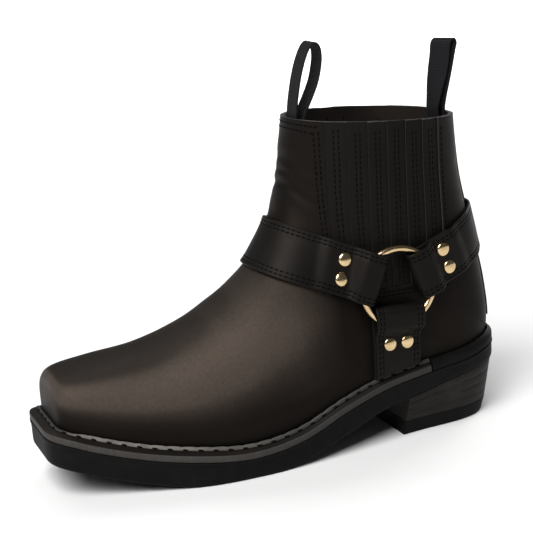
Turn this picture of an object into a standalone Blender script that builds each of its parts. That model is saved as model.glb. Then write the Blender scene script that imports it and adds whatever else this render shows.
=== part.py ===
"""Left short harness boot: lofted leather upper on a welted sole, with gussets, ringed straps and pull loops."""

import math

import bmesh
import bpy
import numpy as np

MM = 0.001

# Leather and clearances
WALL = 2.6 * MM
GAP = 0.35 * MM

# The last, one row for each girth section from the toe face to the collar. A section is an oval in a plane that
# crosses the boot between a point on the ridge line (toe top, instep, shaft front) and one on the base line
# (sole, heel back, shaft back). Columns in millimetres: ridge forward and height, base forward and height, half
# width, offset of the middle to the medial side. Then the share of the height where the section is widest, and
# its squareness above and below that.
LAST_COLUMNS = ("ridge_f", "ridge_z", "base_f", "base_z", "half", "mid", "widest", "top_n", "low_n")
LAST = (
    (290, 57.5, 290, 38, 18, 6, 0.50, 2.8, 3.0),
    (288, 66, 288, 35, 25, 6, 0.48, 2.8, 3.2),
    (280, 71, 280, 30, 31, 6, 0.42, 2.7, 3.4),
    (257, 74, 257, 21, 38.5, 5.5, 0.40, 2.5, 3.5),
    (230, 77.5, 230, 14, 43.5, 2.5, 0.38, 2.4, 3.5),
    (203, 87, 203, 10, 46.75, -1.75, 0.36, 2.3, 3.5),
    (179, 101, 178, 8, 47.5, -4, 0.36, 2.2, 3.4),
    (160, 116, 148, 9, 44.75, -5, 0.36, 2.2, 3.3),
    (147.5, 132, 114, 14, 41.5, -3.75, 0.38, 2.2, 3.2),
    (140.5, 145, 78, 18, 38.5, -1.5, 0.42, 2.2, 3.2),
    (137.5, 155, 42, 23, 37, 0, 0.45, 2.2, 3.1),
    (135, 163, 13, 31, 37, 0, 0.47, 2.2, 3.0),
    (133.3, 171, 2, 54, 37, 0, 0.48, 2.2, 2.8),
    (131.7, 179, 3, 86, 37, 0, 0.49, 2.2, 2.6),
    (130, 187.5, 10, 123, 38, 0, 0.50, 2.2, 2.4),
    (128.2, 195.5, 16, 158, 39, 0, 0.50, 2.2, 2.3),
    (126.5, 203.5, 18, 195, 41, 0, 0.50, 2.2, 2.3),
)
LAST_END = len(LAST) - 1
TOE_ROWS = 4
TOE_STEP = 0.5
BODY_STEP = 2 / 3
RING_POINTS = 32

# Rows of the last between which its back line crosses the feather line
HEEL_ROWS = (10.0, 13.0)

# Heights under the foot, in millimetres, every PROFILE_STEP forward from the heel's back edge
PROFILE_STEP = 30
FEATHER = (53, 47.2, 43.8, 40.2, 33, 22.3, 18.3, 21, 26, 34.3, 45.4)
TREAD = (35, 32, 26.3, 21.6, 12.6, 2.8, -1, -0.6, 4.6, 13, 23)

# How far the sole stands out from the upper in millimetres, by the share of the way from toe to heel
REACH = ((0, 7.5), (0.15, 7.5), (0.35, 7.5), (0.55, 6), (0.7, 5.2), (0.85, 4.2), (1, 3.4))
OUTLINE_STEPS = 34
BEAD_RISE = 2.4 * MM

# Sole profiles, walked round each section. A point lies out from the upper's lower edge by flare times the
# upper's own flare over the bead, plus reach times the sole's reach, plus out millimetres. Its height is up
# millimetres over the feather line.
EDGE_COLUMNS = ("flare", "reach", "out", "up")
WELT_EDGE = (
    (0, 1, 0.0, -5.6),
    (0, 1, 0.0, -1.4),
    (1, 0, 2.6, 0.3),
    (1, 0, 2.3, 1.9),
    (1, 0, 1.5, 2.6),
    (1, 0, 1.0, 2.0),
    (0, 0, 1.0, -0.2),
    (0, 0, 0.4, -5.6),
)
RAND_EDGE = (
    (0, 1, 0.4, -5.6),
    (0, 1, 0.4, -0.7),
    (0, 1, -0.3, 0.2),
    (1, 0, 1.7, 1.4),
    (1, 0, 0.7, 1.6),
    (0, 0, 0.6, -0.2),
    (0, 0, 0.4, -5.6),
)
WELT_END = 26.6
WELT_NOTCH = 0.05

# The outsole's own side below the welt: out from the sole's edge, and height over the feather line, then for the
# rows of the foot height over the tread line
OUTSOLE_SIDE = ((0.0, -5.95), (0.6, -6.6), (0.1, -8.2))
OUTSOLE_FOOT = ((-0.2, 1.6), (-1.4, 0.0))

# Heel: breast, taper toward the floor and the height where the top lift starts
BREAST_TOP = 72 * MM
BREAST_LEAN = 4 * MM
HEEL_INSET = 1.2 * MM
HEEL_BACK_TAPER = 8 * MM
HEEL_SIDE_TAPER = 0.07
TOP_LIFT = 9 * MM

INSOLE_INSET = 5.0 * MM
INSOLE_THICK = 2.4 * MM

# Gussets: side panels of overlapping strips let into the wall
GUSSET_FRONT = 114 * MM
GUSSET_BACK = 41 * MM
GUSSET_FOOT = 96.5 * MM
GUSSET_STRIPS = 6
GUSSET_ROWS = 9
POCKET = 1.3 * MM
STRIP_LOW = -0.55 * MM
STRIP_HIGH = 0.05 * MM
STRIP_EDGE = 0.001

# Harness rings
RING_AT = np.array((78, 98.8)) * MM
RING_RADIUS = 23.5 * MM
WIRE = 2.1 * MM
RING_REST = 1.5 * MM
RING_ROUND = 30
WIRE_ROUND = 8

# Straps, measured along the strap from the ring's middle
STRAP_THICK = 2.0 * MM
STRAP_ACROSS = 3
STRAP_LIFT = 0.65 * MM
FOLD_AT = 16.4 * MM
FOLD_RADIUS = WIRE + GAP + 0.25 * MM + STRAP_THICK / 2
PLANE_TO = 23.5 * MM
LEVEL_FROM = 32 * MM
RETURN_END = 45 * MM
SINGLE_FROM = 54 * MM
RIVETS_AT = 36.2 * MM
COVER_STOPS = (PLANE_TO, 26 * MM, 29 * MM, LEVEL_FROM, RIVETS_AT, RETURN_END, 49.5 * MM, SINGLE_FROM)
RETURN_STOPS = (RETURN_END, RIVETS_AT, LEVEL_FROM, 29 * MM, 26 * MM, PLANE_TO)
SIDE_STOPS = (PLANE_TO, 26 * MM, 29 * MM, LEVEL_FROM, RIVETS_AT)
CROWN_STEPS = 9
STRAPS = {
    "instep": {"turn": math.radians(23), "width": 32 * MM},
    "heel": {"turn": math.radians(161.3), "width": 30 * MM},
    "side": {"turn": math.radians(-87.5), "width": 32 * MM},
}
RIVET_APART = 6.2 * MM
RIVET_RADIUS = 4.4 * MM
RIVET_DOME = ((1.0, 0.0), (0.92, 0.9), (0.5, 1.7))
RIVET_ROUND = 9

BACKSTAY_HALF = 0.17
BACKSTAY_FOOT = 12.2
BACKSTAY_THICK = 1.1 * MM

# Pull loops: rows along the tape, in millimetres away from the inside of the collar and above its edge
TAPE_WIDTH = 15 * MM
TAPE_THICK = 1.2 * MM
TAPE_ACROSS = 3
LOOP_COLUMNS = ("away", "up")
FRONT_LOOP = (
    (0, -20), (0, -8), (0.5, 2), (2.8, 15), (6.2, 28), (10.8, 39), (15.2, 43.5),
    (18.6, 40.5), (19, 32.5), (16, 20.5), (11, 10), (6.2, 1), (3.4, -9), (2.2, -20),
)
BACK_LOOP = (
    (0, -20), (0, -8), (-0.2, 2), (-1.5, 13), (-3.6, 25), (-6.5, 37), (-7.8, 42), (-6.2, 44.5),
    (-3.4, 42), (-2.4, 35), (-0.2, 24), (2.8, 11), (4.4, 1), (3.2, -9), (2.2, -20),
)
BACK_LOOP_TWIST = math.radians(28)


def smooth_rows(rows, place):
    """Row of a table at a fractional index, on a smooth curve through all its rows."""
    last = len(rows) - 1
    index = min(int(place), last - 1)
    share = place - index
    a, b, c, d = (np.array(rows[min(max(index + k, 0), last)], float) for k in (-1, 0, 1, 2))
    tangent_b = (c - a) / 2
    tangent_c = (d - b) / 2
    square, cube = share**2, share**3
    return (
        (2 * cube - 3 * square + 1) * b
        + (cube - 2 * square + share) * tangent_b
        + (3 * square - 2 * cube) * c
        + (cube - square) * tangent_c
    )


def profile(heights, forward):
    place = forward / MM / PROFILE_STEP
    return float(smooth_rows([(h,) for h in heights], min(max(place, 0), len(heights) - 1))[0]) * MM


def feather(forward):
    """Height of the line where the upper meets the sole."""
    return profile(FEATHER, forward)


def tread(forward):
    """Height of the outsole's underside, flat on the floor under the ball."""
    return max(0.0, profile(TREAD, forward))


def section(place):
    """Base point, direction up to the ridge, and named sizes of one section of the last, in millimetres."""
    row = dict(zip(LAST_COLUMNS, smooth_rows(LAST, place)))
    base = np.array((row["base_f"], row["base_z"]))
    along = np.array((row["ridge_f"], row["ridge_z"])) - base
    length = np.linalg.norm(along)
    row["low"] = row["widest"] * length
    row["high"] = length - row["low"]
    return base, along / length, row


def last_point(place, angle):
    """Point (forward, medial, height) of the upper's outside; angle 0 is the base line, pi the ridge line."""
    base, along, row = section(place)
    sine, cosine = math.sin(angle), math.cos(angle)
    semi, power = (row["low"], row["low_n"]) if cosine > 0 else (row["high"], row["top_n"])
    radius = ((abs(sine) / row["half"]) ** power + (abs(cosine) / semi) ** power) ** (-1 / power)
    forward, up = base + along * (row["low"] - radius * cosine)
    return np.array((forward, row["mid"] - radius * sine, up)) * MM


def last_normal(place, angle):
    step = 0.01
    across = last_point(min(place + step, LAST_END), angle) - last_point(max(place - step, 0), angle)
    around = last_point(place, angle + step) - last_point(place, angle - step)
    normal = np.cross(around, across)
    return normal / np.linalg.norm(normal)


def last_offset(place, angle, out):
    return last_point(place, angle) + last_normal(place, angle) * out


def side_share(forward, height):
    """How deep a place in side view lies inside the upper's outline (0 at the edge), and its section's sizes."""
    spot = np.array((forward, height)) / MM
    low, high = 0.0, float(LAST_END)
    for _ in range(30):
        place = (low + high) / 2
        base, along, row = section(place)
        away = spot - base
        if along[0] * away[1] - along[1] * away[0] > 0:
            low = place
        else:
            high = place
    lift = away @ along - row["low"]
    semi, power = (row["low"], row["low_n"]) if lift < 0 else (row["high"], row["top_n"])
    return 1 - (abs(lift) / semi) ** power, power, row


def side_point(forward, height, side):
    """Point of the upper's outside over a place in side view; side is -1 lateral, 1 medial."""
    share, power, row = side_share(forward, height)
    reach = row["half"] * max(share, 0.0) ** (1 / power)
    return np.array((forward, (row["mid"] + side * reach) * MM, height))


def side_normal(forward, height, side):
    step = 0.4 * MM
    along = side_point(forward + step, height, side) - side_point(forward - step, height, side)
    up = side_point(forward, height + step, side) - side_point(forward, height - step, side)
    normal = np.cross(up, along) * side
    return normal / np.linalg.norm(normal)


def side_offset(forward, height, side, out):
    return side_point(forward, height, side) + side_normal(forward, height, side) * out


def collar_height(forward):
    front, back = LAST[-1][:2], LAST[-1][2:4]
    share = (forward / MM - back[0]) / (front[0] - back[0])
    return (back[1] + share * (front[1] - back[1])) * MM


def feather_side(turn, rise):
    """Plan points (forward, medial) of the upper at a rise over the feather line, from toe to heel on one side."""
    found = []
    place = 0.0
    while place < LAST_END:
        foot = last_point(place, 0)
        if foot[2] >= feather(foot[0]) + rise:
            break
        low, high = 0.0, math.pi / 2
        for _ in range(30):
            middle = (low + high) / 2
            point = last_point(place, middle * turn)
            if point[2] < feather(point[0]) + rise:
                low = middle
            else:
                high = middle
        found.append(last_point(place, low * turn)[:2])
        place += 0.1
    return found


def heel_foot(rise):
    """Plan point where the back line crosses a rise over the feather line."""
    low, high = HEEL_ROWS
    for _ in range(30):
        middle = (low + high) / 2
        foot = last_point(middle, 0)
        if foot[2] < feather(foot[0]) + rise:
            low = middle
        else:
            high = middle
    return last_point(low, 0)[:2]


def resample(points, steps):
    points = np.array(points)
    lengths = np.concatenate([[0], np.cumsum(np.linalg.norm(np.diff(points, axis=0), axis=1))])
    wanted = np.linspace(0, lengths[-1], steps + 1)
    return np.stack([np.interp(wanted, lengths, points[:, k]) for k in range(2)], axis=1)


def upper_outline(rise):
    """Closed plan outline of the upper near its lower edge: toe middle, lateral side, heel middle, medial side."""
    lateral, medial = feather_side(1, rise), feather_side(-1, rise)
    toe = (lateral[0] + medial[0]) / 2
    heel = heel_foot(rise)
    near = resample([toe, *lateral, heel], OUTLINE_STEPS)
    far = resample([toe, *medial, heel], OUTLINE_STEPS)
    return np.concatenate([near, far[-2:0:-1]])


def outward(outline):
    tangents = np.roll(outline, -1, axis=0) - np.roll(outline, 1, axis=0)
    normals = np.stack([-tangents[:, 1], tangents[:, 0]], axis=1)
    return normals / np.linalg.norm(normals, axis=1)[:, None]


OUTLINE = upper_outline(0.0)
OUTLINE_COUNT = len(OUTLINE)
OUTWARD = outward(OUTLINE)
FLARE = np.maximum(((upper_outline(BEAD_RISE) - OUTLINE) * OUTWARD).sum(axis=1), 0)
SHARES = [min(k, OUTLINE_COUNT - k) / OUTLINE_STEPS for k in range(OUTLINE_COUNT)]
SOLE_REACH = np.interp(SHARES, *zip(*REACH)) * MM


def at(values, k):
    """Value of an outline table at a fractional index."""
    index = math.floor(k)
    share = k - index
    return values[index % OUTLINE_COUNT] * (1 - share) + values[(index + 1) % OUTLINE_COUNT] * share


def sole_spot(k, out):
    """Plan place out from the upper's lower edge at one outline index."""
    return at(OUTLINE, k) + at(OUTWARD, k) * out


SOLE_EDGE = np.array([sole_spot(k, SOLE_REACH[k] + OUTSOLE_SIDE[1][0] * MM) for k in range(OUTLINE_COUNT)])
ORIGIN = (SOLE_EDGE.min(axis=0) + SOLE_EDGE.max(axis=0)) / 2


def edge_section(k, rows):
    """Closed section of a strip of the sole at one outline index, from an edge table."""
    loop = []
    for values in rows:
        row = dict(zip(EDGE_COLUMNS, values))
        out = row["flare"] * at(FLARE, k) + row["reach"] * at(SOLE_REACH, k) + row["out"] * MM
        loop.append((*sole_spot(k, out), feather(at(OUTLINE, k)[0]) + row["up"] * MM))
    return loop


def outline_walk(start, end):
    """Outline indices from start to end, with every whole index between them."""
    return [start, *range(math.ceil(start), math.floor(end) + 1), end]


def sole_loop(out, reach, line, up):
    """Whole outline at one distance out, at a height over the feather or tread line."""
    loop = []
    for k in range(OUTLINE_COUNT):
        loop.append((*sole_spot(k, out + reach * SOLE_REACH[k]), line(OUTLINE[k][0]) + up))
    return loop


def heel_loop(share, height):
    """Heel block outline at a share of the way down from the outsole (0) to the floor (1)."""
    sole = [sole_spot(k, SOLE_REACH[k] - HEEL_INSET) for k in range(OUTLINE_COUNT)]
    lateral = sorted(map(tuple, sole[1:OUTLINE_STEPS]))
    medial = sorted(map(tuple, sole[OUTLINE_STEPS + 1 :]))
    spots = [(BREAST_TOP, np.interp(BREAST_TOP, *zip(*lateral)))]
    spots += [s for s in sole if s[0] < BREAST_TOP - 1.5 * MM]
    spots.append((BREAST_TOP, np.interp(BREAST_TOP, *zip(*medial))))
    loop = []
    for forward, across in spots:
        back = (BREAST_TOP - forward) / BREAST_TOP
        moved = forward + share * (BREAST_LEAN + (HEEL_BACK_TAPER - BREAST_LEAN) * back)
        loop.append((moved, across * (1 - HEEL_SIDE_TAPER * share), height(forward)))
    return loop


LOOKS = {
    "leather": ((0.035, 0.030, 0.027), 0.45, 0.0),
    "strap": ((0.030, 0.026, 0.024), 0.40, 0.0),
    "welt": ((0.16, 0.14, 0.12), 0.70, 0.0),
    "rubber": ((0.030, 0.030, 0.030), 0.60, 0.0),
    "stack": ((0.075, 0.060, 0.052), 0.65, 0.0),
    "board": ((0.20, 0.13, 0.08), 0.80, 0.0),
    "tape": ((0.025, 0.024, 0.028), 0.85, 0.0),
    "brass": ((0.80, 0.66, 0.40), 0.25, 1.0),
}


def material(name, color, roughness, metallic):
    made = bpy.data.materials.new(name)
    made.use_nodes = True
    shader = made.node_tree.nodes["Principled BSDF"]
    shader.inputs["Base Color"].default_value = (*color, 1)
    shader.inputs["Roughness"].default_value = roughness
    shader.inputs["Metallic"].default_value = metallic
    return made


def solid(name, points, faces, look):
    """Object from points (forward, medial, height), in the part's frame: toe to -X, lateral side to -Y."""
    mesh = bpy.data.meshes.new(name)
    mesh.from_pydata([(ORIGIN[0] - f, y - ORIGIN[1], z) for f, y, z in points], [], faces)
    work = bmesh.new()
    work.from_mesh(mesh)
    bmesh.ops.recalc_face_normals(work, faces=work.faces)
    if work.calc_volume(signed=True) < 0:
        bmesh.ops.reverse_faces(work, faces=work.faces)
    work.to_mesh(mesh)
    work.free()
    made = bpy.data.objects.new(name, mesh)
    bpy.context.scene.collection.objects.link(made)
    mesh.materials.append(material(name, *LOOKS[look]))
    return made


def ladder(first, count, shift):
    """Cap of a long outline as rungs between its two sides; the partner of point k is count - k - shift."""
    faces = []
    for k in range(count // 2):
        corners = (k, k + 1, (count - k - 1 - shift) % count, (count - k - shift) % count)
        kept = list(dict.fromkeys(first + c for c in corners))
        if len(kept) > 2:
            faces.append(tuple(kept))
    return faces


def skin(name, loops, look, closed=False, rungs=None):
    """Solid through matching loops of points. It is capped at both ends, or closed on itself."""
    count = len(loops[0])
    points = [p for loop in loops for p in loop]
    faces = []
    for i in range(len(loops) if closed else len(loops) - 1):
        here, there = i * count, (i + 1) % len(loops) * count
        for k in range(count):
            after = (k + 1) % count
            faces.append((here + k, here + after, there + after, there + k))
    final = (len(loops) - 1) * count
    if rungs is not None:
        faces += ladder(0, count, rungs) + ladder(final, count, rungs)
    elif not closed:
        faces += [tuple(range(count)), tuple(range(final, final + count))]
    return solid(name, points, faces, look)


def sheet(name, inner, outer, look):
    """Solid between two grids of points of the same size."""
    return skin(name, [[*low, *high[::-1]] for low, high in zip(inner, outer)], look)


def grid_normals(grid):
    normals = np.cross(np.gradient(grid, axis=0), np.gradient(grid, axis=1))
    return normals / np.linalg.norm(normals, axis=2)[:, :, None]


def band(name, grid, thick, look):
    """Strip of even thickness about a grid of points, stations along it by points across it."""
    grid = np.array(grid)
    shift = grid_normals(grid) * thick / 2
    return sheet(name, grid - shift, grid + shift, look)


def cut(target, cutter):
    cutter.hide_render = True
    cutter.display_type = "WIRE"
    change = target.modifiers.new(cutter.name, "BOOLEAN")
    change.operation = "DIFFERENCE"
    change.solver = "EXACT"
    change.object = cutter


def last_ring(place, out):
    return [last_offset(place, 2 * math.pi * k / RING_POINTS, out) for k in range(RING_POINTS)]


def build_upper():
    toe = np.arange(0, TOE_ROWS, TOE_STEP)
    body = np.linspace(TOE_ROWS, LAST_END, round((LAST_END - TOE_ROWS) / BODY_STEP) + 1)
    places = [*toe, *body]
    outside = [last_ring(place, 0.0) for place in places]
    inside = [last_ring(place, -WALL) for place in places]
    for point in inside[-1]:
        point[2] = collar_height(point[0])
    upper = skin("upper", outside + inside[::-1], "leather")
    forwards = np.linspace(-30, 330, 61) * MM
    below = -30 * MM
    bed = [(f, feather(f)) for f in forwards] + [(forwards[-1], below), (forwards[0], below)]
    sides = [[(f, y, z) for f, z in bed] for y in (-90 * MM, 90 * MM)]
    cut(upper, skin("bed_cutter", sides, "leather"))
    return upper


def gusset_columns():
    """Shares from the front edge to the back edge: the start, middle and end of every strip."""
    steps = (STRIP_EDGE, 0.5 / GUSSET_STRIPS, 1 / GUSSET_STRIPS - STRIP_EDGE)
    shares = [k / GUSSET_STRIPS + step for k in range(GUSSET_STRIPS) for step in steps]
    return [0.0, *shares[1:-1], 1.0]


def strip_height(share):
    """Sawtooth of the overlapping strips: each stands highest at its front edge."""
    within = share * GUSSET_STRIPS - math.floor(min(share * GUSSET_STRIPS, GUSSET_STRIPS - 1e-6))
    return STRIP_HIGH + within * (STRIP_LOW - STRIP_HIGH)


def gusset_grid(side, columns, height, top, inset):
    """Rows up the side by columns from front to back, offset from the upper by a function of the column's share."""
    front, back = GUSSET_FRONT - inset, GUSSET_BACK + inset
    rows = []
    for up in np.linspace(0, 1, GUSSET_ROWS):
        row = []
        for share in columns:
            forward = front + share * (back - front)
            foot = GUSSET_FOOT + inset
            level = foot + up * (collar_height(forward) + top - foot)
            row.append(side_offset(forward, level, side, height(share)))
        rows.append(row)
    return rows


def build_gussets(upper):
    for word, side in (("lateral", -1), ("medial", 1)):
        even = np.linspace(0, 1, 2 * GUSSET_STRIPS + 1)
        floor = gusset_grid(side, even, lambda share: -POCKET, 4 * MM, 0.0)
        cover = gusset_grid(side, even, lambda share: 4 * MM, 4 * MM, 0.0)
        cut(upper, sheet("pocket_cutter_" + word, floor, cover, "leather"))
        inner = gusset_grid(side, gusset_columns(), lambda share: GAP - POCKET, 0.0, GAP)
        outer = gusset_grid(side, gusset_columns(), strip_height, 0.0, GAP)
        sheet("gusset_" + word, inner, outer, "strap")


def build_backstay():
    lift = GAP + 0.1 * MM + BACKSTAY_THICK / 2
    angles = np.linspace(-BACKSTAY_HALF, BACKSTAY_HALF, 4)
    places = np.linspace(BACKSTAY_FOOT, LAST_END - 0.15, 12)
    band("backstay", [[last_offset(p, a, lift) for a in angles] for p in places], BACKSTAY_THICK, "strap")


def build_sole():
    around = outline_walk(-WELT_END, WELT_END)
    skin("welt", [edge_section(k, WELT_EDGE) for k in around], "welt")
    behind = outline_walk(WELT_END + WELT_NOTCH, OUTLINE_COUNT - WELT_END - WELT_NOTCH)
    skin("heel_rand", [edge_section(k, RAND_EDGE) for k in behind], "rubber")
    loops = [sole_loop(0, 0, feather, -GAP), sole_loop(0, 0, feather, OUTSOLE_SIDE[0][1] * MM)]
    loops += [sole_loop(out * MM, 1, feather, up * MM) for out, up in OUTSOLE_SIDE]
    loops += [sole_loop(out * MM, 1, tread, up * MM) for out, up in OUTSOLE_FOOT]
    skin("outsole", loops, "rubber", rungs=0)
    inset = [sole_loop(-INSOLE_INSET, 0, feather, up) for up in (0.0, INSOLE_THICK)]
    skin("insole", inset, "board", rungs=0)
    joint = 1 - TOP_LIFT / tread(BREAST_TOP)
    stack = [heel_loop(0, lambda f: tread(f) - GAP), heel_loop(joint, lambda f: TOP_LIFT + GAP / 2)]
    skin("heel_stack", stack, "stack", rungs=1)
    lift = [heel_loop(joint, lambda f: TOP_LIFT - GAP / 2), heel_loop(1, lambda f: 0.0)]
    skin("top_lift", lift, "rubber", rungs=1)


def ease(low, high, value):
    share = min(max((value - low) / (high - low), 0), 1)
    return share * share * (3 - 2 * share)


def ring_plane(side):
    """The ring's plane as medial = a * forward + b * height + c, resting over the three folded straps."""
    rest = RING_REST + STRAP_LIFT + STRAP_THICK / 2 + FOLD_RADIUS
    rows, values = [], []
    for strap in STRAPS.values():
        turn = strap["turn"]
        forward, height = RING_AT + np.array((math.cos(turn), math.sin(turn))) * FOLD_AT
        rows.append((forward, height, 1))
        values.append(side_point(forward, height, side)[1] + side * rest)
    return np.linalg.solve(np.array(rows), np.array(values))


class Strap:
    """One strap leaving a ring in side view: places along it (u) and across it (w), and the ring's plane."""

    def __init__(self, key, side):
        turn, width = STRAPS[key]["turn"], STRAPS[key]["width"]
        self.along = np.array((math.cos(turn), math.sin(turn)))
        self.across = np.array((-math.sin(turn), math.cos(turn)))
        self.lines = np.linspace(-width / 2, width / 2, STRAP_ACROSS)
        self.side = side
        self.plane = ring_plane(side)

    def spot(self, u, w):
        return RING_AT + self.along * u + self.across * w

    def on_plane(self, u, w, out):
        forward, height = self.spot(u, w)
        return np.array((forward, self.plane @ (forward, height, 1) + self.side * out, height))

    def on_upper(self, u, w, out):
        return side_offset(*self.spot(u, w), self.side, out)

    def layer(self, u, over, fold):
        """Station of a strap layer: a height over the upper that turns into a height over the ring's plane."""
        blend = ease(PLANE_TO, LEVEL_FROM, u)
        return [(1 - blend) * self.on_plane(u, w, fold) + blend * self.on_upper(u, w, over) for w in self.lines]

    def end(self):
        """Stations from the tucked end, under the ring's wire and round it, to the outside layer's start."""
        stations = [self.layer(u, STRAP_LIFT + STRAP_THICK / 2, -FOLD_RADIUS) for u in RETURN_STOPS]
        for degrees in range(-90, 91, 36):
            turn = math.radians(degrees)
            u = FOLD_AT - FOLD_RADIUS * math.cos(turn)
            stations.append([self.on_plane(u, w, FOLD_RADIUS * math.sin(turn)) for w in self.lines])
        return stations

    def cover(self, stops):
        """Stations of the outside layer, which comes down to the upper beyond the tucked end."""
        double = STRAP_LIFT + 1.5 * STRAP_THICK + GAP
        single = STRAP_LIFT + STRAP_THICK / 2
        stations = []
        for u in stops:
            over = double + ease(RETURN_END, SINGLE_FROM, u) * (single - double)
            stations.append(self.layer(u, over, FOLD_RADIUS))
        return stations

    def rivet_seat(self, w, over):
        """Point over the outside layer at the rivets' station, and the normal there."""
        edge = math.copysign(self.lines[-1], w)

        def across(u):
            return self.on_upper(u, 0.0, over), self.on_upper(u, edge, over)

        share = w / edge
        before, here, after = (np.array(across(RIVETS_AT + step)) for step in (-3 * MM, 0.0, 3 * MM))
        normal = np.cross((after - before).sum(axis=0), here[1] - here[0])
        normal *= self.side * np.sign(normal[1]) / np.linalg.norm(normal)
        return here[0] * (1 - share) + here[1] * share, normal

    def tip(self, w):
        """Distance along the strap to the upper's ridge or back line."""
        low, high = 30 * MM, 120 * MM
        for _ in range(30):
            middle = (low + high) / 2
            if side_share(*self.spot(middle, w))[0] > 0:
                low = middle
            else:
                high = middle
        return low

    def crown(self):
        """Rows of points on the upper from the single layer's start to near the tip, even round the turn."""
        tips = [self.tip(w) for w in self.lines]
        rows = []
        for step in range(CROWN_STEPS + 1):
            bend = math.radians(90) * step / (CROWN_STEPS + 0.5)
            stops = [SINGLE_FROM + (tip - SINGLE_FROM) * math.sin(bend) for tip in tips]
            rows.append([side_point(*self.spot(u, w), self.side) for u, w in zip(stops, self.lines)])
        return rows


def build_round_strap(key, rise):
    """Strap from the lateral ring round the instep or the heel to the medial ring, as one folded band."""
    near, far = Strap(key, -1), Strap(key, 1)
    crown = np.array(near.crown() + far.crown()[::-1])
    normals = grid_normals(crown)
    normals *= -np.sign(normals[0, 0, 1])
    middle = len(crown) / 2 - 0.5
    raised = []
    for k in range(1, len(crown) - 1):
        over = STRAP_LIFT + STRAP_THICK / 2 + rise * ease(0.5 * middle, 0.15 * middle, abs(k - middle))
        raised.append(crown[k] + normals[k] * over)
    stations = near.end() + near.cover(COVER_STOPS) + raised
    stations += (far.end() + far.cover(COVER_STOPS))[::-1]
    band(key + "_strap", stations, STRAP_THICK, "strap")


def build_side_strap(word, side):
    """Strap from the ring down to the welt's bead."""
    strap = Strap("side", side)
    start = SIDE_STOPS[-1]
    feet = []
    for w in strap.lines:
        u = start
        while strap.spot(u, w)[1] > feather(strap.spot(u, w)[0]) + BEAD_RISE + 1.6 * MM:
            u += 0.1 * MM
        feet.append(u)
    over = STRAP_LIFT + 1.5 * STRAP_THICK + GAP
    stations = strap.end() + strap.cover(SIDE_STOPS)
    for share in (0.5, 1.0):
        stations.append([strap.on_upper(start + share * (u - start), w, over) for u, w in zip(feet, strap.lines)])
    band("side_strap_" + word, stations, STRAP_THICK, "strap")


def cross_axes(normal):
    first = np.cross(normal, (0, 0, 1))
    first /= np.linalg.norm(first)
    return first, np.cross(normal, first)


def build_ring(word, side):
    a, b, c = ring_plane(side)
    middle = np.array((RING_AT[0], a * RING_AT[0] + b * RING_AT[1] + c, RING_AT[1]))
    normal = np.array((-a, 1.0, -b)) / math.sqrt(1 + a * a + b * b)
    first, second = cross_axes(normal)
    loops = []
    for turn in np.linspace(0, 2 * math.pi, RING_ROUND, endpoint=False):
        out = first * math.cos(turn) + second * math.sin(turn)
        rolls = np.linspace(0, 2 * math.pi, WIRE_ROUND, endpoint=False)
        loops.append([middle + out * (RING_RADIUS + WIRE * math.cos(r)) + normal * WIRE * math.sin(r) for r in rolls])
    skin("ring_" + word, loops, "brass", closed=True)


def build_rivet(name, seat, normal):
    first, second = cross_axes(normal)
    turns = np.linspace(0, 2 * math.pi, RIVET_ROUND, endpoint=False)
    loops = []
    for share, up in RIVET_DOME:
        rim = [(first * math.cos(t) + second * math.sin(t)) * share * RIVET_RADIUS for t in turns]
        loops.append([seat + out + normal * up * MM for out in rim])
    skin(name, loops, "brass")


def build_rivets():
    over = STRAP_LIFT + 2 * STRAP_THICK + 2.5 * GAP
    for key in STRAPS:
        for word, side in (("lateral", -1), ("medial", 1)):
            strap = Strap(key, side)
            for number, w in ((1, -RIVET_APART), (2, RIVET_APART)):
                build_rivet(f"rivet_{key}_{word}_{number}", *strap.rivet_seat(w, over))


def build_loop(name, rows, edge, inward, twist):
    """Tape loop in the boot's middle plane. Its legs lie inside the collar wall, and twist turns it above that."""
    start = edge[0] * MM + inward * (WALL + GAP + 0.7 * MM + TAPE_THICK / 2)
    grid = []
    for place in np.linspace(0, len(rows) - 1, 2 * len(rows) - 1):
        row = dict(zip(LOOP_COLUMNS, smooth_rows(rows, place)))
        turn = twist * ease(0, 30, row["up"])
        line = []
        for across in np.linspace(-TAPE_WIDTH / 2, TAPE_WIDTH / 2, TAPE_ACROSS):
            forward = start + inward * row["away"] * MM + across * math.sin(turn)
            line.append((forward, across * math.cos(turn), (edge[1] + row["up"]) * MM))
        grid.append(line)
    band(name, grid, TAPE_THICK, "tape")


def main():
    for thing in list(bpy.data.objects):
        bpy.data.objects.remove(thing)
    upper = build_upper()
    build_gussets(upper)
    build_backstay()
    build_sole()
    build_round_strap("instep", 0.0)
    build_round_strap("heel", BACKSTAY_THICK + 0.5 * MM)
    for word, side in (("lateral", -1), ("medial", 1)):
        build_side_strap(word, side)
        build_ring(word, side)
    build_rivets()
    build_loop("pull_loop_front", FRONT_LOOP, LAST[-1][:2], -1, 0.0)
    build_loop("pull_loop_back", BACK_LOOP, LAST[-1][2:4], 1, BACK_LOOP_TWIST)


main()
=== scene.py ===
"""Looks of a left short harness boot around its fixed frame: leather, stitches, sole, brass and tape."""

import math

import bmesh
import bpy
import numpy as np
from mathutils import Matrix

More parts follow.
